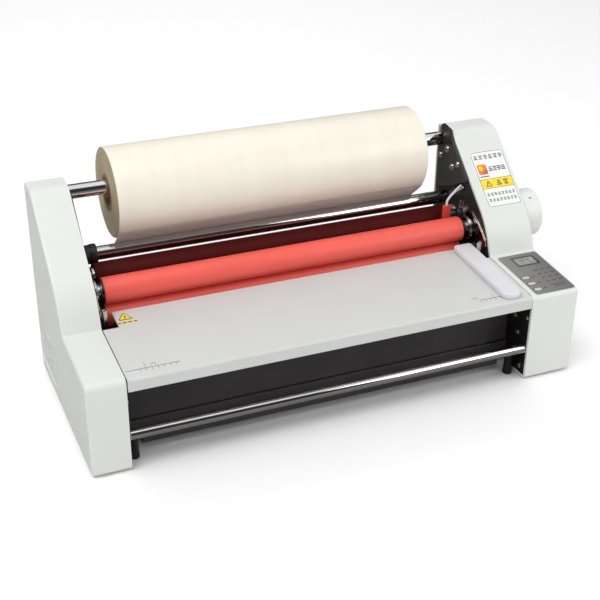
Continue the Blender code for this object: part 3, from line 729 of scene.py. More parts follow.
def glass_look():
    look = Look("quartz_tube", (0.90, 0.87, 0.80), 0.08)
    look.mottled(50.0, 0.04)
    look.worn(40.0, 0.04)
    look.set(Transmission_Weight=0.7, IOR=1.46)
    return look.material


def board_look():
    """A circuit board: green lacquer over copper tracks."""
    look = Look("board_lacquer", (0.015, 0.13, 0.05), 0.35)
    brick = look.add("ShaderNodeTexBrick")
    brick.inputs["Scale"].default_value = 160.0
    brick.inputs["Mortar Size"].default_value = 0.03
    brick.inputs["Color1"].default_value = (0.012, 0.11, 0.045, 1)
    brick.inputs["Color2"].default_value = (0.018, 0.14, 0.055, 1)
    brick.inputs["Mortar"].default_value = (0.10, 0.22, 0.06, 1)
    look.link(look.place, brick.inputs["Vector"])
    look.colour_from(brick.outputs["Color"])
    look.worn(90.0, 0.1)
    return look.material


def weave_look():
    """Red glass tape: two crossed sets of threads."""
    look = Look("red_glass_tape", (0.55, 0.035, 0.022), 0.62)
    threads = [look.wave(direction, 190.0, 0.5) for direction in ("X", "Z")]
    crossed = look.mixed(0.5, threads[0], threads[1], "DIFFERENCE")
    stops = [(0.0, (0.30, 0.014, 0.010)), (0.6, (0.66, 0.06, 0.035)), (1.0, (0.85, 0.25, 0.17))]
    look.colour_from(look.ramp(crossed, stops))
    look.bumped(crossed, 0.0002, 0.8)
    return look.material


def braid_look():
    look = Look("braided_sleeve", (0.72, 0.72, 0.70), 0.55)
    strands = look.wave("DIAGONAL", 330.0, 2.0)
    look.colour_from(look.ramp(strands, [(0.2, (0.45, 0.45, 0.44)), (0.7, (0.80, 0.80, 0.78))]))
    look.bumped(strands, 0.0002, 0.7)
    return look.material


def ink(name, colour, roughness=0.5):
    """Printing ink, slightly uneven in tone."""
    look = Look(name, colour, roughness)
    look.mottled(400.0, 0.12)
    look.grained(1500.0, 0.00001)
    return look.material


def paper_label():
    look = Look("label_stock", (0.80, 0.81, 0.79), 0.33)
    look.mottled(200.0, 0.02)
    look.grained(700.0, 0.00001)
    look.set(Coat_Weight=0.25, Coat_Roughness=0.2)
    return look.material


LOOKS = {
    "white_casing": casing_look(),
    "knob_white": casing_look("knob_plastic", (0.70, 0.73, 0.695)),
    "black_plate": powder_coat("black_powder_coat", (0.011, 0.011, 0.012), 0.45, 0.0, 0.3),
    "bracket_grey": powder_coat("grey_powder_coat", (0.045, 0.045, 0.046), 0.45, 0.1, 0.1),
    "bracket_dark": powder_coat("dark_powder_coat", (0.012, 0.012, 0.013), 0.45, 0.0, 0.2),
    "table_grey": powder_coat("table_coat", (0.575, 0.585, 0.575), 0.40, 0.0, 0.015, 0.00003),
    "dark_sheet": powder_coat("dark_sheet_coat", (0.045, 0.041, 0.042), 0.40, 0.1, 0.12),
    "chrome": ground_steel("chrome", (0.74, 0.73, 0.71), 0.06, 0.0),
    "steel": ground_steel("turned_steel", (0.52, 0.52, 0.54), 0.28, 0.00001),
    "bearing_steel": ground_steel("bearing_steel", (0.42, 0.42, 0.43), 0.16),
    "dark_steel": ground_steel("blackened_steel", (0.055, 0.052, 0.050), 0.24),
    "zinc": plated_sheet("zinc_plate", (0.58, 0.58, 0.57), 0.30),
    "motor_steel": plated_sheet("motor_can", (0.36, 0.36, 0.37), 0.34),
    "coral_silicone": silicone("coral_silicone", (0.80, 0.100, 0.074), 0.45, 0.08),
    # The rear rollers' coral silicone, darkened to paint in the shade they sit in under the film roll:
    # painted shade
    "dark_silicone": silicone("red_silicone_with_painted_shade", (0.060, 0.0036, 0.0024), 0.60, 0.0),
    "nylon": moulded("gear_nylon", (0.75, 0.73, 0.66), 0.42),
    "lamp_glass": glass_look(),
    "cardboard": cardboard_look(),
    "film": film_look(),
    "film_end": film_end_look(),
    "film_web": film_web_look(),
    "black_plastic": moulded("black_plastic", (0.018, 0.018, 0.019), 0.42, 0.2),
    "black_rubber": moulded("black_rubber", (0.014, 0.014, 0.014), 0.70, 0.25, 0.0001),
    "panel_grey": panel_look(),
    "smoked_window": window_look(),
    "display_face": display_look(),
    "key_white": moulded("key_plastic", (0.52, 0.52, 0.51), 0.40, 0.04),
    "board_green": board_look(),
    "milky_plastic": milky_look(),
    "switch_red": moulded("switch_plastic", (0.42, 0.012, 0.012), 0.22, 0.08, 0.00001),
    "red_weave": weave_look(),
    "white_cable": braid_look(),
    "label": paper_label(),
    "ink_black": ink("black_ink", (0.02, 0.02, 0.022)),
    "ink_grey": ink("grey_ink", (0.10, 0.10, 0.10)),
    "ink_dark": ink("dark_grey_ink", (0.055, 0.053, 0.05)),
    "ink_yellow": ink("yellow_ink", (0.86, 0.66, 0.03), 0.4),
    "ink_red": ink("red_ink", (0.55, 0.10, 0.07)),
    "ink_orange": ink("orange_ink", (0.80, 0.20, 0.03)),
    "ink_pale": ink("pale_ink", (0.62, 0.62, 0.60)),
    "nickel": ground_steel("nickel", (0.66, 0.64, 0.60), 0.20),
    # A dark plated sheet; its reddish tint is a painted reflection of the coral rollers
    "keeper": plated_sheet("dark_sheet_with_painted_red_reflection", (0.20, 0.13, 0.12), 0.25),
    # Near black for discs that stand in for the shade inside a hole: painted shade
    "painted_hole_shade": moulded("shadowed_recess", (0.006, 0.006, 0.006), 0.8, 0.2),
}


# ---- side covers and frame plates


def cover(hand, outer_x):
    """A hollow moulded shell with a rounded outer edge, open towards its frame plate."""
    side = 1 if outer_x > 0 else -1
    open_x = side * INNER_FACE
    rings = [(outer_x - side * COVER_WALL, COVER_WALL), (open_x, COVER_WALL), (open_x, 0.0)]
    steps = 6
    for step in range(steps + 1):
        angle = math.pi / 2 * step / steps
        x = outer_x - side * COVER_EDGE * (1 - math.sin(angle))
        rings.append((x, COVER_EDGE * (1 - math.cos(angle))))
    outline = side_profile()
    shape = loft([[(x, y, z) for y, z in inset(outline, distance)] for x, distance in rings])
    name = f"{hand}_cover_shell"
    return piece(name, shape, "white_casing", replaces=[f"{hand}_side_cover"], soft=0.0003)


def covers():
    left = cover("left", OUTER_LEFT)
    fan_low, fan_high = machine_box("fan_frame")
    fan_y = (fan_low.y + fan_high.y) / 2
    fan_z = (fan_low.z + fan_high.z) / 2
    recess_depth = 0.0009
    recess = prism(oblong(fan_y, fan_z, 0.064, 0.039, 0.007), OUTER_LEFT - 0.002, OUTER_LEFT + recess_depth)
    slots = [
        prism(
            oblong(fan_y, fan_z + 0.0072 * row, 0.034, 0.0032, 0.0015), OUTER_LEFT - 0.003,
            OUTER_LEFT + 0.006
        )
        for row in range(-2, 3)
    ]
    cut(left, recess, *slots)

    right = cover("right", OUTER_RIGHT)
    clear = 0.0003
    panel_hole = oblong(PANEL_X, PANEL_S, PANEL_WIDTH + 2 * clear, PANEL_LENGTH + 2 * clear, 0.002)
    inlet = oblong(*middle_xz("mains_inlet"), 0.0276, 0.0201, 0.003)
    switch = oblong(*middle_xz("switch_bezel"), 0.0186, 0.0246, 0.001)
    cut(
        right, on_deck(prism(panel_hole, -0.010, 0.010, "Z")),
        prism(inlet, DEPTH - 0.007, DEPTH + 0.005, "Y"),
        prism(switch, DEPTH - 0.007, DEPTH + 0.005, "Y"),
        moved(rod_shape(OUTER_RIGHT - 0.006, OUTER_RIGHT + 0.004, 0.0046), y=KNOB_Y, z=KNOB_Z)
    )


def middle_xz(node):
    low, high = machine_box(node)
    return (low.x + high.x) / 2, (low.z + high.z) / 2


PANEL_BOX = machine_box("control_panel")
PANEL_X = (PANEL_BOX[0].x + PANEL_BOX[1].x) / 2
PANEL_WIDTH = PANEL_BOX[1].x - PANEL_BOX[0].x
PANEL_LENGTH = (PANEL_BOX[1].y - PANEL_BOX[0].y) / math.cos(DECK_ANGLE)
PANEL_S = (PANEL_BOX[0].y + PANEL_BOX[1].y) / 2 / math.cos(DECK_ANGLE)


def slot_up(y, z, radius, rise):
    """A round hole drawn out upwards."""
    corner = radius * 0.999
    return rounded(
        [
            (y - radius, z - radius, corner), (y + radius, z - radius, corner),
            (y + radius, z + rise + radius, corner), (y - radius, z + rise + radius, corner)
        ],
        10.0
    )


LIFT = 0.002
BEARING_R = axis_of("lower_front_bearing_left")[2]
TIE_BAR_Y, TIE_BAR_Z, TIE_BAR_R = axis_of("lift_tie_bar")
JOURNAL_HOLE_R = 0.0065
CABLE_HOLE = (0.133, 0.1403)


def frame_plates():
    for side, hand in HANDS:
        low, high = sorted((side * PLATE_IN, side * PLATE_OUT))
        plate = piece(
            f"{hand}_plate", prism(inset(side_profile(PLATE_REAR), PLATE_INSET), low, high),
            "black_plate", replaces=[f"{hand}_frame_plate"], soft=0.0003
        )
        holes = [
            circle(FRONT_Y, LOWER_Z, BEARING_R + FIT), slot_up(FRONT_Y, UPPER_Z, BEARING_R + FIT, LIFT),
            circle(REAR_Y, LOWER_Z, JOURNAL_HOLE_R), slot_up(REAR_Y, UPPER_Z, JOURNAL_HOLE_R, LIFT),
            slot_up(TIE_BAR_Y, TIE_BAR_Z, TIE_BAR_R + 0.0006, LIFT)
        ]
        if side < 0:
            holes.append(circle(*axis_of("drive_gear")[:2], 0.004))
        else:
            holes.append(circle(*CABLE_HOLE, 0.0028))
        cut(plate, *[prism(hole, low - PAST, high + PAST) for hole in holes])


def bearing_keepers():
    """A dark sheet with a bright rim and bead inside each frame plate, around the front bearings."""
    outline = rounded([
        (0.0880, 0.0933, 0.0040), (0.0826, 0.0985, 0.0040), (0.0840, 0.1052, 0.0040),
        (0.0904, 0.1113, 0.0100), (0.1019, 0.1194, 0.0100), (0.1120, 0.1236, 0.0060),
        (0.1205, 0.1236, 0.0060), (0.1250, 0.1255, 0.0030), (0.1290, 0.1255, 0.0030),
        (0.1290, 0.0933, 0.0030)
    ])
    thickness = 0.0007
    opening = slot_up(FRONT_Y, UPPER_Z, BEARING_R + 0.0004, LIFT)
    for side, hand in HANDS:
        low, high = sorted((side * (PLATE_IN - thickness), side * (PLATE_IN - 0.0001)))
        # The keeper's dark sheet is its own colour; its red tint is painted reflection of the coral roller
        keeper = piece(f"{hand}_bearing_keeper", prism(outline, low, high), "keeper", soft=0.0002)
        cut(keeper, prism(opening, low - PAST, high + PAST))
        face = side * (PLATE_IN - thickness)
        for name, distance, line in (("rim", 0.0002, 0.0008), ("bead", 0.0024, 0.0006)):
            near, far = sorted((face, face - side * 0.0005))
            band = hoop(inset(outline, distance), line, near, far)
            made = piece(f"{hand}_keeper_{name}", band, "nickel", soft=0.00015)
            cut(made, prism(opening, near - PAST, far + PAST))


# ---- screws


def pan_head(radius, height):
    """A screw head around +Z with its underside at Z = 0, and a cross cut in it."""
    section = [(0.0, 0.0), (0.0, radius * 0.97), (height * 0.35, radius)]
    arc_steps = 6
    for step in range(1, arc_steps + 1):
        angle = math.pi / 2 * step / arc_steps
        section.append((height * (0.35 + 0.65 * math.sin(angle)), radius * (0.42 + 0.58 * math.cos(angle))))
    section.append((height, 0.0))
    head = linked("head", mesh_from("head", turned(section, 32, across="Z")))
    arm = radius * 0.62
    wide = radius * 0.17
    for size in ((2 * arm, 2 * wide), (2 * wide, 2 * arm)):
        subtract(head, prism(oblong(0, 0, *size, wide * 0.5), height * 0.45, height * 2, "Z"))
    result = bmesh.new()
    result.from_mesh(head.data)
    bpy.data.objects.remove(head)
    return result


def facing(shape, direction, spin=0.0):
    """Turns a shape made around +Z to face another way."""
    turned_by(shape, spin, "Z")
    turn = Vector((0, 0, 1)).rotation_difference(Vector(direction)).to_matrix()
    bmesh.ops.rotate(shape, verts=shape.verts, cent=(0, 0, 0), matrix=turn)
    return shape


def screws(name, places, direction, radius, height):
    """Screw heads at these places, each turned to its own angle."""
    template = pan_head(radius, height)
    heads = []
    for x, y, z in places:
        head = facing(template.copy(), direction, random.uniform(0, math.pi))
        heads.append(moved(head, x, y, z))
    template.free()
    piece(name, gathered(heads), "nickel")


def washers(name, places, direction, inner, outer, thick):
    rings = []
    for x, y, z in places:
        ring = ring_shape(0.0, thick, inner, outer, 0.0002, 32)
        turned_by(ring, -math.pi / 2, "Y")
        rings.append(moved(facing(ring, direction), x, y, z))
    piece(name, gathered(rings), "nickel")


# ---- brackets for the film roll


def roll_brackets():
    """Plates with an open seat for the shaft; the right one hooks over it and has a grey doubler."""
    seat_r = SHAFT_R + 0.0004
    thick = 0.0025
    for side, hand in HANDS:
        over = 150 if side > 0 else 160
        seat = [
            (
                SHAFT_Y + seat_r * math.cos(math.radians(angle)),
                SHAFT_Z + seat_r * math.sin(math.radians(angle))
            )
            for angle in range(260, over - 1, -5)
        ]
        if side > 0:
            slot = [(0.1738, 0.1790), (0.1738, 0.1828, 0.0008), (0.1788, 0.1838, 0.0012)]
            finger = [(0.1796, 0.1886, 0.0022), (0.1758, 0.1912, 0.0022), (0.1610, 0.1892, 0.003)]
            front = slot + finger + [(0.1560, 0.1785), (0.1233, 0.1500, 0.0015), (0.1344, 0.1444)]
        else:
            front = [(0.1692, 0.1752, 0.003), (0.1380, 0.1425, 0.0015)]
        outline = rounded([(0.182, 0.1215)] + seat + front + [(0.1469, 0.1372)])
        low = min(side * (BETWEEN - thick), side * BETWEEN)
        piece(
            f"{hand}_bracket", prism(outline, low, low + thick), "bracket_dark",
            [f"{hand}_roll_bracket"], 0.0004
        )
        face = side * (BETWEEN - thick)
        if side > 0:
            doubler = [
                (0.1819, 0.1225), (0.1819, 0.1640, 0.001), (0.1712, 0.1706, 0.002),
                (0.1590, 0.1752, 0.002)
            ]
            doubler += [
                (0.1545, 0.1763, 0.001), (0.1240, 0.1497, 0.001), (0.1350, 0.1444), (0.1472, 0.1375)
            ]
            near, far = sorted((face, face - side * 0.0004))
            piece("right_bracket_doubler", prism(rounded(doubler), near, far), "bracket_grey", soft=0.0001)
            face -= side * 0.0004
            # No pin hole is cut: this thin near-black disc on the doubler is painted shade where the hole
            # would be
            shadow = prism(circle(0.1375, 0.1489, 0.0009, 24), near - 0.00005, near + 0.0001)
            piece("bracket_pin_hole_painted_shade", shadow, "painted_hole_shade")
        if side > 0:
            places = [(0.1635, 0.1690), (0.1765, 0.1588), (0.1425, 0.1605), (0.1527, 0.1547)]
        else:
            places = [(0.1690, 0.1520), (0.1765, 0.1400), (0.1620, 0.1380), (0.1725, 0.1290)]
        spots = [(face, y, z) for y, z in places]
        inward = (-side, 0, 0)
        washers(f"{hand}_bracket_washers", spots, inward, 0.0016, 0.0036, 0.0004)
        raised = [(x - side * 0.0004, y, z) for x, y, z in spots]
        screws(f"{hand}_bracket_screws", raised, inward, 0.0029, 0.0016)


# ---- sheet metal, rods and feet


def feed_table():
    rise = math.tan(DECK_ANGLE)
    sheet = 0.0015
    low, high = machine_box("feed_table")
    lip = low.y
    rear = high.y
    section = rounded([
        (lip, DECK_FRONT - 0.011), (lip, DECK_FRONT, 0.0022), (rear, DECK_FRONT + rise * rear),
        (rear, DECK_FRONT + rise * rear - sheet), (lip + sheet, DECK_FRONT - sheet, 0.0008),
        (lip + sheet, DECK_FRONT - 0.011)
    ])
    table = piece(
        "feed_table_sheet", prism(section, -BETWEEN, BETWEEN), "table_grey", replaces=["feed_table"],
        soft=0.0003
    )
    notch = 0.1725
    for side in (-1, 1):
        near, far = sorted((side * notch, side * 0.190))
        corner = rounded([(near, DECK_END[0], 0.0012), (far, DECK_END[0]), (far, 0.110), (near, 0.110)])
        cut(table, prism(corner, 0.080, 0.100, "Z"))


def folded(name, section, half, look, node):
    """A sheet folded along X, with its section given as (y, z)."""
    return piece(name, prism(rounded(section), -half, half), look, [node], 0.0002)


def chassis_sheets():
    half = BETWEEN - 0.0005
    bend = 0.0010
    folded(
        "apron_sheet",
        [
            (0.035, 0.024, bend), (0.035, 0.0845), (0.0362, 0.0845), (0.0362, 0.0252), (0.050, 0.0252),
            (0.050, 0.024)
        ],
        half, "dark_sheet", "front_apron"
    )
    fold = rounded([
        (0.0330, 0.0140, 0.0004), (0.0330, 0.0242, 0.0006), (0.0350, 0.0242), (0.0350, 0.0232),
        (0.0340, 0.0232), (0.0340, 0.0140)
    ])
    piece("apron_fold", prism(fold, -half, half), "dark_sheet", soft=0.0001)
    folded(
        "base_sheet",
        [
            (0.024, 0.006, bend), (0.024, 0.013), (0.0252, 0.013), (0.0252, 0.0072), (0.1768, 0.0072),
            (0.1768, 0.013), (0.178, 0.013), (0.178, 0.006, bend)
        ],
        0.1715, "dark_sheet", "base_pan"
    )
    rear = folded(
        "rear_sheet",
        [
            (0.180, 0.0145), (0.180, 0.0845, 0.0015), (0.165, 0.0872), (0.165, 0.086), (0.1788, 0.0835),
            (0.1788, 0.0145)
        ],
        half, "dark_sheet", "rear_panel"
    )
    slots = [
        prism(oblong(x * 0.0085, 0.030, 0.0032, 0.014, 0.0015), 0.175, 0.185, "Y") for x in range(-7, 8)
    ]
    cut(rear, *slots)
    spots = [(side * 0.176, 0.180, z) for side in (-1, 1) for z in (0.024, 0.076)]
    screws("rear_sheet_screws", spots, (0, 1, 0), 0.0030, 0.0016)


def cross_rods():
    for node, name in (("front_tie_rod", "front_rod"), ("rear_tie_rod", "rear_rod")):
        y, z, radius = axis_of(node)
        shape = moved(rod_shape(-BETWEEN, BETWEEN, radius), y=y, z=z)
        piece(name, shape, "chrome", replaces=[node])


def feet():
    for row in ("front", "rear"):
        for hand in ("left", "right"):
            node = f"{row}_{hand}_foot"
            low, high = machine_box(node)
            radius = (high.x - low.x) / 2
            section = [
                (low.z, 0.0), (low.z, radius * 0.6), (low.z + 0.0006, radius * 0.64),
                (low.z, radius * 0.68), (low.z, radius), (low.z + 0.0040, radius * 0.97),
                (low.z + 0.0046, radius * 0.91), (high.z, radius * 0.84), (high.z, 0.0)
            ]
            shape = turned(filleted(section, 0.0005), 48, across="Z")
            middle = ((low.x + high.x) / 2, (low.y + high.y) / 2, 0.0)
            piece(f"{node}_moulding", moved(shape, *middle), "black_rubber", replaces=[node])


# ---- rollers


ROLLERS = {
    "upper_front": (FRONT_Y, UPPER_Z), "upper_rear": (REAR_Y, UPPER_Z),
    "lower_front": (FRONT_Y, LOWER_Z), "lower_rear": (REAR_Y, LOWER_Z)
}


def rollers():
    for name, (y, z) in ROLLERS.items():
        body = f"{name}_roller"
        heated = "front" in name
        low, high = machine_box(f"{name}_roller_sleeve")
        core_low, core_high = machine_box(f"{name}_roller_core")
        core_r = axis_of(f"{name}_roller_core")[2]
        inner = core_r + FIT
        sleeve = ring_shape(low.x, high.x, inner, ROLLER_R, 0.0011, 96)
        # The rear sleeves take a darkened copy of the coral silicone, which is painted shade
        look = "coral_silicone" if heated else "dark_silicone"
        piece(
            f"{name}_sleeve", moved(sleeve, y=y, z=z), look, replaces=[f"{name}_roller_sleeve"],
            body=body
        )
        journal_r = 0.006
        bore_r = 0.0046 if heated else 0.0015
        body_left = low.x - 0.0024
        body_right = high.x + 0.0036
        section = [
            (core_low.x, bore_r), (core_low.x, journal_r), (body_left, journal_r), (body_left, core_r),
            (body_right, core_r), (body_right, journal_r), (core_high.x, journal_r),
            (core_high.x, bore_r), (core_low.x, bore_r)
        ]
        core = turned(filleted(section, 0.0004)[:-1], 64, closed=True)
        piece(f"{name}_core", moved(core, y=y, z=z), "steel", replaces=[f"{name}_roller_core"], body=body)
        if not heated:
            continue
        for hand, end, side in (("left", low.x, -1), ("right", high.x, 1)):
            near, far = sorted((end + side * 0.0006, end + side * 0.0019))
            collar = ring_shape(near, far, core_r + 0.0001, 0.0112, 0.0003)
            piece(f"{name}_collar_{hand}", moved(collar, y=y, z=z), "dark_steel", body=body)


def front_bearings():
    """Flanged ball bearings: a bright flange, a dark shield with a groove and a bright inner ring."""
    for level, z, body in (("upper", UPPER_Z, "lift_carriage"), ("lower", LOWER_Z, "chassis")):
        for hand in ("left", "right"):
            node = f"{level}_front_bearing_{hand}"
            low, high = machine_box(node)
            side = 1 if hand == "right" else -1
            face = low.x if side > 0 else high.x
            back = high.x if side > 0 else low.x

            def ring(name, start, stop, inner, outer, look, edge=0.0003, more=()):
                near, far = sorted((face + side * start, face + side * stop))
                shape = moved(ring_shape(near, far, inner, outer, edge), y=FRONT_Y, z=z)
                piece(f"{node}_{name}", shape, look, more, body=body)

            depth = abs(back - face)
            ring("outer_ring", 0.0, depth, 0.0089, BEARING_R, "bearing_steel", 0.0004, [node])
            ring("shield", 0.0006, 0.0010, 0.0074, 0.0089, "dark_steel", 0.0001)
            ring("inner_ring", 0.0002, depth, 0.0062, 0.0074, "bearing_steel", 0.0002)
            ring("snap_ring", 0.0012, 0.0021, BEARING_R - 0.0003, 0.0116, "nickel", 0.0002)


# ---- film roll, shaft and idler


def film():
    """The roll of film: its ends show the layers, a little uneven, as a wound roll's do."""
    low, high = machine_box("film_roll")
    inner = axis_of("film_core")[2] + FIT
    layers = 34
    rise = [random.uniform(0.0, 0.00028) for _ in range(layers)]
    section = [(low.x + rise[0], inner)]
    for side, end in ((1, low.x), (-1, high.x)):
        run = []
        for layer in range(layers):
            start = inner + (ROLL_R - 0.0009 - inner) * layer / layers
            stop = inner + (ROLL_R - 0.0009 - inner) * (layer + 1) / layers
            x = end + side * (0.0002 + rise[layer])
            run += [(x, start), (x, stop - 0.00012)]
        for along, below in ((0.0005, 0.0008), (0.0009, 0.0003), (0.0018, 0.0)):
            run.append((end + side * along, ROLL_R - below))
        section = run if side > 0 else section + list(reversed(run))
    shape = moved(turned(section, 128, closed=True), y=ROLL_Y, z=ROLL_Z)
    roll = piece("wound_film_roll", shape, "film", replaces=["film_roll"], body="film_roll")
    roll.data.materials.append(LOOKS["film_end"])
    middle = Vector((ROLL_Y, ROLL_Z))
    for face in roll.data.polygons:
        below_skin = (Vector(face.center[1:]) - middle).length < ROLL_R - 0.0011
        face.material_index = 1 if abs(face.normal.x) > 0.7 or below_skin else 0
    low, high = machine_box("film_core")
    core = ring_shape(low.x, high.x, 0.0127, 0.0165, 0.0004, 96)
    piece(
        "core_tube", moved(core, y=ROLL_Y, z=ROLL_Z), "cardboard", replaces=["film_core"],
        body="film_roll"
    )


def film_web():
    """The loose end of the film, from the front of the roll to the back of the idler rod."""
    clear = 0.0004
    sheet = 0.0002
    roll = Vector((ROLL_Y, ROLL_Z))
    idler = Vector((IDLER_Y, IDLER_Z))
    across = idler - roll
    lean = math.acos((ROLL_R + IDLER_R + 2 * clear) / across.length)
    leave = math.atan2(across.y, across.x) - lean
    path = []
    for step in range(4):
        angle = leave - math.radians(12 - 4 * step)
        path.append(roll + Vector((math.cos(angle), math.sin(angle))) * (ROLL_R + clear))
    for step in range(5):
        angle = leave + math.pi - math.radians(11 * step)
        path.append(idler + Vector((math.cos(angle), math.sin(angle))) * (IDLER_R + clear))
    edges = []
    for index, here in enumerate(path):
        ahead = (path[min(index + 1, len(path) - 1)] - path[max(index - 1, 0)]).normalized()
        across = Vector((ahead.y, -ahead.x)) * sheet / 2
        edges.append((here - across, here + across))
    outline = [tuple(first) for first, second in edges] + [
        tuple(second) for first, second in reversed(edges)
    ]
    low, high = machine_box("film_roll")
    shape = prism(outline, low.x + 0.0012, high.x - 0.0012)
    piece("film_web_sheet", shape, "film_web", body="supply_shaft")


def shaft_and_idler():
    low, high = machine_box("supply_shaft")
    shape = moved(rod_shape(low.x, high.x, SHAFT_R, 0.0009, 96), y=SHAFT_Y, z=SHAFT_Z)
    piece("chrome_shaft", shape, "chrome", replaces=["supply_shaft"], body="supply_shaft")
    low, high = machine_box("idler_rod")
    shape = moved(rod_shape(low.x, high.x, IDLER_R, 0.0006, 96), y=IDLER_Y, z=IDLER_Z)
    piece("chrome_idler", shape, "chrome", replaces=["idler_rod"], body="idler_rod")
    low, high = machine_box("idler_bushing")
    radius = axis_of("idler_bushing")[2]
    bore = IDLER_R + FIT
    section = [
        (low.x, bore), (low.x, radius), (high.x - 0.0105, radius), (high.x - 0.0100, radius - 0.0005),
        (high.x - 0.0060, radius - 0.0005), (high.x - 0.0055, radius), (high.x, radius), (high.x, bore),
        (low.x, bore)
    ]
    shape = moved(turned(filleted(section, 0.0005)[:-1], 72, closed=True), y=IDLER_Y, z=IDLER_Z)
    piece("idler_bushing_left", shape, "black_plastic", replaces=["idler_bushing"])


def pillars():
    """Two upright posts with a socket in the top, standing in the table's rear corner notches."""
    y = 0.0880
    radius = 0.0024
    section = [
        (0.066, 0.0), (0.066, radius), (0.1025, radius), (0.1025, 0.0016), (0.1000, 0.0016),
        (0.1000, 0.0)
    ]
    for side, hand in HANDS:
        shape = turned(filleted(section, 0.0004), 40, across="Z")
        piece(f"{hand}_pillar", moved(shape, side * 0.1816, y), "nickel")


def pressure_knob():
    """A plain drum with a rounded rim, a shallow dish in its face and two dashes printed on its side."""
    high = machine_box("pressure_knob")[1]
    inner = OUTER_RIGHT + 0.0004
    section = [
        (inner, 0.0), (inner, KNOB_R - 0.0004), (high.x - 0.0010, KNOB_R), (high.x, KNOB_R - 0.0016),
        (high.x, KNOB_R - 0.0052), (high.x - 0.0010, KNOB_R - 0.0062), (high.x - 0.0010, 0.0)
    ]
    shape = moved(turned(filleted(section, 0.0016), 144), y=KNOB_Y, z=KNOB_Z)
    piece(
        "pressure_knob_drum", shape, "knob_white", ["pressure_knob"],
        body="pressure_knob"
    )
    for name, x, angle, look in (("upper", 0.2470, 94, "ink_pale"), ("lower", 0.2452, 120, "ink_grey")):
        mark = moved(flat(oblong(0, 0, 0.0032, 0.0012, 0.0004)), z=KNOB_R - 0.0001)
        turned_by(mark, math.radians(angle - 90), "X")
        moved(mark, x, KNOB_Y, KNOB_Z)
        piece(f"knob_{name}_dash", mark, look, body="pressure_knob")


# ---- control panel


DIGITS = {
    "0": "abcdef",
    "1": "bc",
    "2": "abged",
    "4": "fgbc",
}


def seven_segments(text, x, s, height):
    """The lit bars of seven-segment digits, flat and around Z = 0."""
    width = height * 0.5
    bar = height * 0.11
    middles = {
        "a": (0.5, 1.0, 0), "b": (1.0, 0.75, 1), "c": (1.0, 0.25, 1), "d": (0.5, 0.0, 0),
        "e": (0.0, 0.25, 1), "f": (0.0, 0.75, 1), "g": (0.5, 0.5, 0),
    }
    bars = []
    for index, character in enumerate(text):
        left = x + index * width * 1.75
        for letter in DIGITS[character]:
            across, up, upright = middles[letter]
            size = (bar, height * 0.42) if upright else (width * 0.80, bar)
            spot = (left + across * width, s + up * height)
            bars.append(flat(oblong(*spot, *size, bar * 0.3)))
    return bars


def marks(name, shapes, look):
    piece(name, gathered(shapes), look)


def key_boxes():
    for name in ("heat", "forward", "reverse"):
        low, high = machine_box(f"{name}_key")
        yield name, (low.x + high.x) / 2, (low.y + high.y) / 2 / math.cos(DECK_ANGLE)


def control_panel():
    over = 0.0008
    overlay_top = 0.0005
    display_top = 0.0003
    overlay = piece("membrane_overlay", on_deck(
            prism(
                oblong(PANEL_X, PANEL_S, PANEL_WIDTH + 2 * over, PANEL_LENGTH + 2 * over, 0.0022),
                0.00005,
                overlay_top,
                "Z",
            )
        ), "panel_grey", replaces=["control_panel"], soft=0.0002)
    window_low, window_high = machine_box("display_window")
    window_x = (window_low.x + window_high.x) / 2
    window_s = (window_low.y + window_high.y) / 2 / math.cos(DECK_ANGLE)
    window_w = window_high.x - window_low.x
    window_h = (window_high.y - window_low.y) / math.cos(DECK_ANGLE)
    tools = [oblong(window_x, window_s, window_w - 0.0008, window_h - 0.0008, 0.0012)]
    tools += [oblong(x, s, 0.0080, 0.0048, 0.0023) for name, x, s in key_boxes()]
    cut(overlay, *[on_deck(prism(tool, -0.003, 0.004, "Z")) for tool in tools])

    backing = oblong(PANEL_X, PANEL_S, PANEL_WIDTH, PANEL_LENGTH, 0.002)
    piece("panel_backing", on_deck(prism(backing, -0.0024, -0.0018, "Z")), "black_plastic")
    glass = oblong(window_x, window_s, window_w - 0.0010, window_h - 0.0010, 0.0011)
    piece(
        "display_glass", on_deck(prism(glass, -0.0016, 0.00025, "Z")), "smoked_window",
        replaces=["display_window"], soft=0.00015
    )
    face = oblong(window_x, window_s, window_w - 0.0042, window_h - 0.0042, 0.0006)
    marks(
        "display_face", [on_deck(prism(face, 0.0, display_top, "Z"))], "display_face",
    )
    digits = [
        moved(bar, z=display_top)
        for bar in seven_segments("124", window_x - 0.0080, window_s - 0.0005, 0.0052)
    ]
    digits += [
        moved(bar, z=display_top)
        for bar in seven_segments("10", window_x + 0.0030, window_s - 0.0046, 0.0028)
    ]
    for index in range(4):
        dash = oblong(window_x - 0.0078 + index * 0.0026, window_s - 0.0036, 0.0016, 0.0005, 0.0001)
        digits.append(moved(flat(dash), z=display_top))
    marks("display_digits", [on_deck(digit) for digit in digits], "ink_black")

    border = frame_strip(window_x, window_s, window_w + 0.0012, window_h + 0.0012, 0.0007)
    marks("display_border", [on_deck(moved(border, z=overlay_top))], "ink_black")
    control_panel_marks(overlay_top)
    keys()


def frame_strip(x, s, width, height, line, radius=0.0014):
    """A thin printed border, flat and around Z = 0."""
    return hoop(oblong(x, s, width, height, radius), line, 0.0, PRINT_LIFT, "Z")


def arrow(x, s, size, angle):
    """A small printed arrow head, flat and around Z = 0."""
    points = [(-0.5, -0.45, 0.06), (0.55, 0.0, 0.06), (-0.5, 0.45, 0.06)]
    head = flat(rounded([(a * size, b * size, r * size) for a, b, r in points], 30))
    return moved(turned_by(head, angle, "Z"), x, s)


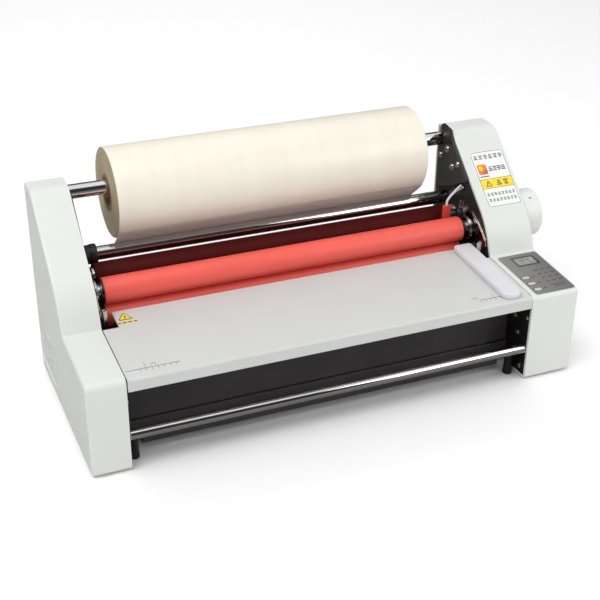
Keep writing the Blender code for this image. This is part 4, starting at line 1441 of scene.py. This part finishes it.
def control_panel_marks(top):
    """Generic symbols beside the keys: a lamp, two arrows, a bar scale and dashes."""
    dark = [frame_strip(x, s, 0.0098, 0.0066, 0.0003, 0.0030) for name, x, s in key_boxes()]
    spots = {name: (x, s) for name, x, s in key_boxes()}
    forward = spots["forward"]
    reverse = spots["reverse"]
    heat = spots["heat"]
    dark.append(arrow(forward[0] + 0.0080, forward[1], 0.0030, math.pi / 2))
    dark.append(arrow(reverse[0] + 0.0080, reverse[1], 0.0030, -math.pi / 2))
    dark.append(frame_strip(heat[0] + 0.0080, heat[1], 0.0030, 0.0030, 0.0005, 0.00149))
    for row, s in enumerate((0.0405, 0.0335, 0.0265, 0.0195)):
        for column in range(3):
            width = 0.0042 - 0.0007 * ((row + column) % 3)
            dark.append(bar_mark(0.2150 + column * 0.0068, s, width, 0.0013))
    for row, s in enumerate((0.0130, 0.0100)):
        dark.append(bar_mark(0.2215, s, 0.0150 - 0.004 * row, 0.0009))
    marks("panel_marks", [on_deck(moved(shape, z=top)) for shape in dark], "ink_dark")


def bar_mark(x, s, width, height):
    return flat(oblong(x, s, width, height, min(width, height) * 0.25))


def keys():
    """Rounded key caps, each with a slightly dished top."""
    for name, x, s in key_boxes():
        outline = oblong(0, 0, 0.0074, 0.0042, 0.00205)
        rings = [(0.0, -0.0030), (0.0, 0.00045), (0.0001, 0.00068)]
        rings += [(0.00035, 0.0008), (0.0009, 0.00074), (0.0015, 0.0007)]
        cap = on_deck(moved(stacked(outline, rings), x, s))
        piece(f"{name}_key_cap", cap, "key_white", replaces=[f"{name}_key"], body=f"{name}_key")


# ---- paper guide


def paper_guide():
    """A milky bar with rounded corners, rounder at the front, and a soft shoulder."""
    low, high = machine_box("paper_guide")
    s_low = low.y / math.cos(DECK_ANGLE)
    s_high = high.y / math.cos(DECK_ANGLE)
    x = (low.x + high.x) / 2
    s = (s_low + s_high) / 2
    width = high.x - low.x
    length = s_high - s_low
    front_corner = 0.0085
    rear_corner = 0.003
    outline = rounded([
        (x - width / 2, s - length / 2, front_corner), (x + width / 2, s - length / 2, front_corner),
        (x + width / 2, s + length / 2, rear_corner), (x - width / 2, s + length / 2, rear_corner)
    ])
    shoulder = 0.0022
    floor = 0.0003
    top = 0.0058
    rings = [(0.0004, floor), (0.0, floor + 0.0004)]
    for step in range(7):
        angle = math.pi / 2 * step / 6
        rings.append((shoulder * (1 - math.cos(angle)), top - shoulder * (1 - math.sin(angle))))
    shape = on_deck(stacked(outline, rings))
    piece("milky_guide", shape, "milky_plastic", replaces=["paper_guide"], body="paper_guide")


# ---- ruler and labels


def on_table(shape):
    return on_deck(moved(shape, z=PRINT_LIFT * 0.2))


def ruler():
    """Ruler prints on the table: a baseline with ticks every 5 mm towards the front, and red end marks."""
    line = 0.00036
    base = 0.0115
    grey = [bar_mark(-0.1620, base, 0.0450, 2 * line), bar_mark(0.1500, base, 0.0200, 2 * line)]
    red_left = -0.1680
    tick = 0.005
    for index in range(-1, 6):
        if index == 0:
            continue
        reach = 0.0045 if index % 2 else 0.0060
        grey.append(bar_mark(red_left + index * tick, base - reach / 2, line, reach))
    for index in range(4):
        grey.append(bar_mark(0.1440 + index * tick, base - 0.0022, line, 0.0045))
    grey += seven_segments("14", -0.1648, 0.0135, 0.0042)
    grey += seven_segments("14", 0.1320, 0.0135, 0.0042)
    marks("ruler_ticks", [on_table(shape) for shape in grey], "ink_grey")
    red = [bar_mark(red_left, 0.0110, 0.0005, 0.0180), bar_mark(0.1390, 0.0080, 0.0005, 0.0100)]
    red.append(bar_mark(0.1540, 0.0100, 0.0005, 0.0160))
    marks("ruler_end_marks", [on_table(shape) for shape in red], "ink_red")


def table_sticker():
    """A small plain yellow triangle with a dark edge, and a row of bars below it."""
    centre = (-0.1640, 0.0905)
    turn = [(0.0, 0.0066), (-0.0066, -0.0052), (0.0066, -0.0052)]
    outer = rounded([(centre[0] + a, centre[1] + b, 0.0012) for a, b in turn])
    inner = rounded([(centre[0] + a * 0.80, centre[1] + b * 0.80, 0.0008) for a, b in turn])
    marks("triangle_edge", [on_table(flat(outer))], "ink_dark")
    fill = moved(flat(inner), z=PRINT_LIFT)
    marks("triangle_fill", [on_table(fill)], "ink_yellow")
    stroke = moved(bar_mark(centre[0], centre[1] - 0.0008, 0.0009, 0.0044), z=2 * PRINT_LIFT)
    marks("triangle_stroke", [on_table(stroke)], "ink_dark")
    strip = flat(oblong(-0.1640, 0.0812, 0.0180, 0.0030, 0.0006))
    marks("sticker_strip", [on_table(strip)], "ink_yellow")
    row = [
        moved(bar_mark(-0.1712 + index * 0.0048, 0.0812, 0.0034, 0.0016), z=PRINT_LIFT)
        for index in range(4)
    ]
    marks("sticker_bars", [on_table(shape) for shape in row], "ink_dark")


def slope_label():
    """The sticker on the right cover's slope, with blocks and bars where the maker's words were."""
    left, right = 0.1965, 0.2330
    foot, head = -0.0005, 0.0595
    x = (left + right) / 2
    s = (foot + head) / 2
    base = 0.00012
    sheet = oblong(x, s, right - left, head - foot, 0.0030)
    piece(
        "label_sheet", on_cover_slope(prism(sheet, -0.00005, base, "Z")), "label",
        soft=0.00004
    )

    def printed(name, shapes, look):
        marks(name, [on_cover_slope(moved(shape, z=base)) for shape in shapes], look)

    border = frame_strip(x, s, right - left - 0.0014, head - foot - 0.0014, 0.00045, 0.0024)
    printed("label_border", [border], "ink_dark")
    band_s = 0.0245
    band = oblong(x, band_s, right - left - 0.0022, 0.0095, 0.0004)
    printed("label_band", [flat(band)], "ink_yellow")
    edges = [bar_mark(x, band_s + side * 0.0049, right - left - 0.0022, 0.0004) for side in (-1, 1)]
    printed("label_band_edges", edges, "ink_dark")
    dark = []
    heading_s = 0.0530
    for index in range(6):
        dark += glyph(left + 0.0048 + index * 0.0054, heading_s, 0.0045, index)
    corner = (left + 0.0090, band_s)
    triangle = [(-0.0036, -0.0030), (0.0036, -0.0030), (0.0, 0.0035)]
    outer = rounded([(corner[0] + a, corner[1] + b, 0.0007) for a, b in triangle])
    dark.append(prism(outer, 0.0, 2 * PRINT_LIFT, "Z"))
    for index in range(2):
        dark += [
            moved(shape, z=PRINT_LIFT)
            for shape in glyph(x + 0.0020 + index * 0.0075, band_s, 0.0056, index + 6)
        ]
    for row, row_s in enumerate((0.0132, 0.0070)):
        for index in range(8):
            dark += glyph(left + 0.0046 + index * 0.0039, row_s, 0.0032, index + row)
    printed("label_blocks", dark, "ink_black")
    inner = flat(inset(outer, 0.0007))
    stroke = bar_mark(corner[0], corner[1] - 0.0002, 0.0006, 0.0026)
    printed("label_triangle_fill", [moved(inner, z=2 * PRINT_LIFT)], "ink_yellow")
    printed("label_triangle_stroke", [moved(stroke, z=3 * PRINT_LIFT)], "ink_black")
    icon = (left + 0.0078, 0.0400)
    block = flat(oblong(*icon, 0.0098, 0.0108, 0.0016))
    printed("label_icon_block", [block], "ink_orange")
    wedge = [(0.0049, -0.0050, 0.0010), (0.0049, 0.0016, 0.0004), (-0.0020, -0.0050, 0.0004)]
    darker = flat(rounded([(icon[0] + a, icon[1] + b, r) for a, b, r in wedge]))
    printed("label_icon_corner", [moved(darker, z=PRINT_LIFT)], "ink_red")
    swoosh = flat(oblong(icon[0] - 0.0014, icon[1] + 0.0014, 0.0040, 0.0050, 0.0019))
    printed("label_icon_spot", [moved(swoosh, z=PRINT_LIFT)], "ink_yellow")
    lines = [bar_mark(icon[0], 0.0324, 0.0098, 0.0010)]
    for index in range(4):
        lines += glyph(left + 0.0166 + index * 0.0047, 0.0398, 0.0050, index)
    printed("label_lines", lines, "ink_black")


def glyph(x, s, size, kind):
    """Three short bars stacked in the room of one printed character; they spell nothing."""
    bars = []
    for row in range(3):
        width = size * (0.92 - 0.17 * ((row + kind) % 3))
        bars.append(bar_mark(x, s + (row - 1) * size * 0.36, width, size * 0.20))
    return bars


# ---- electrics


def mains_inlet():
    """An appliance inlet with three flat pins, behind a flange."""
    low, high = machine_box("mains_inlet")
    x, z = middle_xz("mains_inlet")
    rear = high.y
    flange = oblong(x, z, high.x - low.x, high.z - low.z, 0.004)
    body = oblong(x, z, 0.0270, 0.0195, 0.003)
    inlet = piece(
        "inlet_flange", prism(flange, DEPTH + 0.0001, rear, "Y"), "black_plastic",
        replaces=["mains_inlet"], soft=0.0005
    )
    corner = 0.0045
    socket = rounded([
        (x - 0.01175, z - 0.00775, 0.0012), (x + 0.01175, z - 0.00775, 0.0012),
        (x + 0.01175, z + 0.00775 - corner, 0.0012), (x + 0.01175 - corner, z + 0.00775, 0.0012),
        (x - 0.01175 + corner, z + 0.00775, 0.0012), (x - 0.01175, z + 0.00775 - corner, 0.0012)
    ])
    cut(inlet, prism(socket, DEPTH - 0.004, rear + 0.004, "Y"))
    depth = 0.016
    well = piece("inlet_well", prism(body, low.y, DEPTH + 0.0001, "Y"), "black_plastic", soft=0.0005)
    cut(well, prism(socket, rear - depth, rear + 0.004, "Y"))
    pins = []
    for across, up in ((-0.0070, -0.0015), (0.0, 0.0025), (0.0070, -0.0015)):
        pins.append(
            prism(oblong(x + across, z + up, 0.0020, 0.0040, 0.0005), rear - depth, rear - 0.0030, "Y")
        )
    piece("inlet_pins", gathered(pins), "nickel")


def power_switch():
    """A two-sided rocker in a bezel, with a bar mark and a ring mark."""
    low, high = machine_box("switch_bezel")
    x, z = middle_xz("switch_bezel")
    opening = (0.0150, 0.0210)
    bezel = piece(
        "switch_flange",
        prism(oblong(x, z, high.x - low.x, high.z - low.z, 0.002), DEPTH + 0.0001, high.y, "Y"),
        "black_plastic", replaces=["switch_bezel"], soft=0.0005
    )
    cut(bezel, prism(oblong(x, z, *opening, 0.0008), DEPTH - 0.002, high.y + 0.002, "Y"))
    can = piece(
        "switch_body", prism(oblong(x, z, 0.0180, 0.0240, 0.001), low.y, DEPTH + 0.0001, "Y"),
        "black_plastic", soft=0.0003
    )
    cut(can, prism(oblong(x, z, *opening, 0.0008), low.y + 0.002, DEPTH + 0.002, "Y"))

    rocker_low, rocker_high = machine_box("switch_rocker")
    pivot_y = 0.1895
    half = (rocker_high.z - rocker_low.z) / 2
    reach = 0.0035
    face = []
    for step in range(13):
        up = -1 + 2 * step / 12
        dish = 0.0016 * abs(up) ** 1.5 + 0.0007 * up
        face.append((pivot_y + reach + dish, z + up * (half - 0.0003)))
    face = [(pivot_y - 0.0030, z - 0.0060)] + face + [(pivot_y - 0.0030, z + 0.0060)]
    rocker = prism(face, rocker_low.x, rocker_high.x)
    piece("rocker_cap", rocker, "switch_red", replaces=["switch_rocker"], soft=0.0004, body="switch_rocker")
    ring_z = z - half * 0.58
    bar_z = z + half * 0.58
    ring = ring_shape(0.0, 0.0002, 0.0013, 0.0018, 0.00005, 32)
    turned_by(turned_by(ring, math.pi / 2, "Z"), math.radians(8), "X")
    moved(ring, x, pivot_y + reach + 0.0003, ring_z)
    bar = prism(oblong(0, 0, 0.0006, 0.0036, 0.0002), 0.0, 0.0002, "Y")
    moved(turned_by(bar, math.radians(-17), "X"), x, pivot_y + reach + 0.0011, bar_z)
    piece("rocker_marks", gathered([ring, bar]), "ink_pale", body="switch_rocker")


def cooling_fan():
    """The fan's frame with rounded corners, its struts and its twisted blades."""
    low, high = machine_box("fan_frame")
    y = (low.y + high.y) / 2
    z = (low.z + high.z) / 2
    size = high.y - low.y
    frame = piece(
        "fan_housing", prism(oblong(y, z, size, size, 0.004), low.x, high.x), "black_plastic",
        replaces=["fan_frame"], soft=0.0003
    )
    bore_r = 0.0185
    corner = 0.0162
    holes = [circle(y + a * corner, z + b * corner, 0.0016, 20) for a in (-1, 1) for b in (-1, 1)]
    cut(frame, prism(circle(y, z, bore_r, 64), low.x - PAST, high.x + PAST))
    cut(frame, *[prism(hole, low.x - PAST, high.x + PAST) for hole in holes])
    struts = [rod_shape(high.x - 0.0016, high.x - 0.0002, 0.0078, 0.0002, 40)]
    for quarter in range(4):
        strut = prism(oblong(0.0130, 0, 0.0114, 0.0018, 0.0003), high.x - 0.0015, high.x - 0.0003)
        struts.append(turned_by(strut, math.pi / 2 * quarter + 0.4, "X"))
    piece("fan_struts", moved(gathered(struts), y=y, z=z), "black_plastic", soft=0.0002)
    rotor_low, rotor_high = machine_box("fan_rotor")
    blades = 7
    hub_r = 0.0080
    tip_r = 0.0174
    shapes = [rod_shape(rotor_low.x, rotor_high.x, hub_r, 0.0008, 56)]
    for blade in range(blades):
        shapes.append(
            fan_blade(rotor_low.x + 0.0003, rotor_high.x - 0.0003, hub_r - 0.0005, tip_r, blade, blades)
        )
    piece(
        "fan_wheel", moved(gathered(shapes), y=y, z=z), "black_plastic", replaces=["fan_rotor"],
        body="fan_rotor"
    )


def fan_blade(x0, x1, hub_r, tip_r, number, count):
    """One twisted blade: a strip between the hub and the tip whose pitch eases outwards."""
    sheet = 0.0006
    spans = 6
    chords = 6
    shape = bmesh.new()
    layers = []
    for side in (-0.5, 0.5):
        grid = []
        for span in range(spans + 1):
            radius = hub_r + (tip_r - hub_r) * span / spans
            sweep = 0.22 * span / spans
            line = []
            for chord in range(chords + 1):
                share = chord / chords
                angle = 2 * math.pi * number / count + sweep + 0.62 * share
                curve = 0.0005 * math.sin(math.pi * share)
                x = x0 + (x1 - x0 - sheet) * share + sheet / 2 + curve * (1 - share) + side * sheet
                x = min(max(x, x0), x1)
                line.append(shape.verts.new((x, radius * math.cos(angle), radius * math.sin(angle))))
            grid.append(line)
        layers.append(grid)
    for grid in layers:
        for a in range(spans):
            for b in range(chords):
                shape.faces.new((grid[a][b], grid[a + 1][b], grid[a + 1][b + 1], grid[a][b + 1]))
    first, second = layers
    rim = [(a, 0) for a in range(spans)] + [(spans, b) for b in range(chords)]
    rim += [(a, chords) for a in range(spans, 0, -1)] + [(0, b) for b in range(chords, 0, -1)]
    for here, after in zip(rim, rim[1:] + rim[:1]):
        shape.faces.new((
            first[here[0]][here[1]], first[after[0]][after[1]], second[after[0]][after[1]],
            second[here[0]][here[1]]
        ))
    bmesh.ops.recalc_face_normals(shape, faces=shape.faces)
    return shape


# ---- sensor and its cable


def tube_along(path, radius, sides=16):
    """A round tube with closed ends along a list of points."""
    loops = []
    guide = Vector((0.0, 0.0, 1.0))
    for index, here in enumerate(path):
        before = path[max(index - 1, 0)]
        after = path[min(index + 1, len(path) - 1)]
        forward = (after - before).normalized()
        sideways = Vector((1.0, 0.0, 0.0))
        if abs(forward.dot(guide)) < 0.95:
            sideways = forward.cross(guide).normalized()
        upward = sideways.cross(forward).normalized()
        guide = upward
        loop = []
        for step in range(sides):
            angle = 2 * math.pi * step / sides
            loop.append(here + (sideways * math.cos(angle) + upward * math.sin(angle)) * radius)
        loops.append(loop)
    return loft(loops)


def smooth_path(places, steps=10):
    """Points along a Catmull-Rom curve through these places."""
    points = [Vector(place) for place in places]
    points = [points[0] * 2 - points[1]] + points + [points[-1] * 2 - points[-2]]
    path = []
    for a, b, c, d in zip(points, points[1:], points[2:], points[3:]):
        for step in range(steps):
            t = step / steps
            path.append(
                (
                    b * 2 + (c - a) * t + (a * 2 - b * 5 + c * 4 - d) * t * t + (
                        b * 3 - a - c * 3 + d
                    ) * t**3
                ) / 2
            )
    path.append(points[-2])
    return path


def temperature_sensor():
    """A woven tape pad that leans on the roller, on a spring strip with a flat tab."""
    pad_low = Vector((0.1632, 0.1291, 0.1100))
    pad_high = Vector((0.1722, 0.1311, 0.1262))
    middle = (pad_low + pad_high) / 2
    piece("sensor_pad", prism(
            oblong(middle.x, middle.z, pad_high.x - pad_low.x, pad_high.z - pad_low.z, 0.0015),
            pad_low.y,
            pad_high.y,
            "Y",
        ), "red_weave", replaces=["temperature_sensor"], soft=0.0006)
    strip = prism(oblong(0.1744, 0.1228, 0.0206, 0.0046, 0.0008), 0.1305, 0.1310, "Y")
    piece("sensor_strip", strip, "nickel", soft=0.0001)
    tab = prism(oblong(0.1330, 0.1228, 0.0070, 0.0070, 0.0010), BETWEEN - 0.0006, BETWEEN)
    piece("sensor_strip_tab", tab, "nickel", soft=0.0001)
    tail = tube_along(
        smooth_path([
            (0.1675, 0.1301, 0.1255), (0.1677, 0.1301, 0.1292), (0.1698, 0.1306, 0.1325),
            (0.1742, 0.1314, 0.1362), (0.1795, 0.1322, 0.1390), (0.1862, 0.1330, 0.1403)
        ]),
        0.0012
    )
    branch = tube_along(
        smooth_path([(0.1742, 0.1314, 0.1362), (0.1785, 0.1318, 0.1400), (0.1832, 0.1322, 0.1432)]), 0.0011
    )
    piece("sensor_lead", gathered([tail, branch]), "white_cable", replaces=["sensor_cable"])


# ---- fasteners that show


def plate_screws():
    """Four screws near the front of each plate's inner face, and a smaller one ahead of them."""
    for side, hand in HANDS:
        face = side * PLATE_IN
        spots = [
            (face, y, z)
            for y, z in ((0.0234, 0.0562), (0.0173, 0.0414), (0.0277, 0.0130), (0.0095, 0.0095))
        ]
        inward = (-side, 0, 0)
        screws(f"{hand}_plate_screws", spots, inward, 0.0027, 0.0016)
        screws(f"{hand}_plate_small_screws", [(face, 0.0048, 0.0625)], inward, 0.0019, 0.0012)


def cover_screws():
    """Two screws in each cover's back wall, one low and one high."""
    for side, hand in HANDS:
        inner_x = side * (INNER_FACE + 0.0050)
        spots = [(inner_x, DEPTH + 0.0001, z) for z in (0.014, 0.164)]
        screws(f"{hand}_cover_rear_screws", spots, (0, 1, 0), 0.0030, 0.0016)


# ---- finishes of the CAD parts that stay


def finish_inner_parts():
    """The drive train, motor, lamps, arms and board keep their CAD shapes and get worked materials."""
    looks = {
        "lift_tie_bar": "steel",
        "left_lift_arm": "zinc",
        "right_lift_arm": "zinc",
        "drive_motor": "motor_steel",
        "upper_heater_lamp": "lamp_glass",
        "lower_heater_lamp": "lamp_glass",
        "circuit_board": "board_green",
        "drive_gear": "nylon",
        "pressure_cam": "nylon",
    }
    for name in ROLLERS:
        looks[f"{name}_roller_gear"] = "nylon"
    for node, look in looks.items():
        slots = frame["nodes"][node].material_slots
        for material_slot in slots:
            material_slot.material = LOOKS[look]


# ---- studio


WORLD_STRENGTH = 0.55
# What polished metal mirrors, as (share of a turn about X, brightness)
GLOSSY_BANDS = [
    (0.0, 0.10),
    (0.50, 0.08),
    (0.625, 0.10),
    (0.665, 1.0),
    (0.825, 1.0),
    (0.86, 0.05),
    (0.97, 0.03),
    (1.0, 0.10),
]
MIRRORED_LIGHTS = ("key_light", "fill_light")
LIGHTS = [
    ("key_light", (-1.1, -0.55, 2.1), (0.0, 0.0, 0.1), (1.6, 1.2), 31.0),
    ("fill_light", (1.1, -1.15, 0.9), (0.15, 0.0, 0.1), (1.0, 1.0), 8.5),
    ("back_light", (0.4, 1.8, 1.7), (0.0, 0.0, 0.1), (2.0, 1.0), 14.0),
]


def pale_floor():
    """A plain floor, dark only where polished metal mirrors it."""
    shape = bmesh.new()
    reach = 6.0
    corners = [(-reach, -reach), (reach, -reach), (reach, reach), (-reach, reach)]
    shape.faces.new([shape.verts.new((x, y, 0.0)) for x, y in corners])
    floor = linked("studio_floor", mesh_from("studio_floor", shape))
    look = Look("pale_floor", (0.95, 0.95, 0.95), 0.65)
    pale = look.ramp(look.noise(3.0), [(0.3, (0.946, 0.946, 0.946)), (0.7, (0.954, 0.954, 0.954))])
    mirrored = look.add("ShaderNodeLightPath").outputs["Is Glossy Ray"]
    look.colour_from(look.mixed(mirrored, pale, (0.16, 0.15, 0.145)))
    floor.data.materials.append(look.material)


def banded_world():
    """An even world for all but mirrored rays, which see bands that depend on the angle about X."""
    world = bpy.data.worlds.new("studio")
    bpy.context.scene.world = world
    world.use_nodes = True
    nodes = world.node_tree.nodes
    links = world.node_tree.links
    nodes.clear()
    output = nodes.new("ShaderNodeOutputWorld")
    even = nodes.new("ShaderNodeBackground")
    even.inputs["Color"].default_value = (1.0, 1.0, 1.0, 1.0)
    even.inputs["Strength"].default_value = WORLD_STRENGTH
    banded = nodes.new("ShaderNodeBackground")
    coordinates = nodes.new("ShaderNodeTexCoord")
    split = nodes.new("ShaderNodeSeparateXYZ")
    links.new(coordinates.outputs["Generated"], split.inputs["Vector"])
    turn = nodes.new("ShaderNodeMath")
    turn.operation = "ARCTAN2"
    links.new(split.outputs["Z"], turn.inputs[0])
    links.new(split.outputs["Y"], turn.inputs[1])
    share = nodes.new("ShaderNodeMapRange")
    share.inputs["From Min"].default_value = -math.pi
    share.inputs["From Max"].default_value = math.pi
    links.new(turn.outputs["Value"], share.inputs["Value"])
    bands = nodes.new("ShaderNodeValToRGB")
    fill_ramp(bands.color_ramp, [(position, (value,) * 3) for position, value in GLOSSY_BANDS])
    links.new(share.outputs["Result"], bands.inputs["Fac"])
    links.new(bands.outputs["Color"], banded.inputs["Color"])
    banded.inputs["Strength"].default_value = 1.0
    paths = nodes.new("ShaderNodeLightPath")
    choose = nodes.new("ShaderNodeMixShader")
    links.new(paths.outputs["Is Glossy Ray"], choose.inputs["Fac"])
    links.new(even.outputs["Background"], choose.inputs[1])
    links.new(banded.outputs["Background"], choose.inputs[2])
    links.new(choose.outputs["Shader"], output.inputs["Surface"])


def lamps():
    for name, where, aim, size, power in LIGHTS:
        light = bpy.data.lights.new(name, "AREA")
        light.shape = "RECTANGLE"
        light.size, light.size_y = size
        light.energy = power
        lamp = linked(name, light)
        lamp.location = where
        lamp.rotation_euler = (Vector(aim) - Vector(where)).to_track_quat("-Z", "Y").to_euler()
        lamp.visible_glossy = name in MIRRORED_LIGHTS
        lamp.visible_camera = False
    bpy.context.scene.view_settings.view_transform = "Standard"


CAMERA_PLACE = (-0.36676, -0.77595, 0.58351)
CAMERA_TURN = (22.861, 28.379, 0.552)  # yaw, pitch and roll, in degrees
CAMERA_LENS = 70.67
CAMERA_SENSOR = 36.0


def camera():
    """A slightly rolled camera, ahead of the machine, above it and to the operator's left."""
    yaw, pitch, roll = [math.radians(angle) for angle in CAMERA_TURN]
    forward = Vector((math.sin(yaw) * math.cos(pitch), math.cos(yaw) * math.cos(pitch), -math.sin(pitch)))
    right = forward.cross(Vector((0, 0, 1))).normalized()
    up = right.cross(forward)
    rolled_right = right * math.cos(roll) + up * math.sin(roll)
    rolled_up = up * math.cos(roll) - right * math.sin(roll)
    data = bpy.data.cameras.new("view")
    data.lens = CAMERA_LENS
    data.sensor_width = CAMERA_SENSOR
    made = linked("view", data)
    turn = Matrix((rolled_right, rolled_up, -forward)).transposed().to_4x4()
    made.matrix_world = Matrix.Translation(HOME + Vector(CAMERA_PLACE)) @ turn
    bpy.context.scene.camera = made


def build():
    covers()
    frame_plates()
    bearing_keepers()
    roll_brackets()
    feed_table()
    chassis_sheets()
    cross_rods()
    feet()
    rollers()
    front_bearings()
    film()
    film_web()
    shaft_and_idler()
    pillars()
    pressure_knob()
    control_panel()
    paper_guide()
    ruler()
    table_sticker()
    slope_label()
    mains_inlet()
    power_switch()
    cooling_fan()
    temperature_sensor()
    plate_screws()
    cover_screws()
    finish_inner_parts()
    pale_floor()
    banded_world()
    lamps()
    camera()


build()
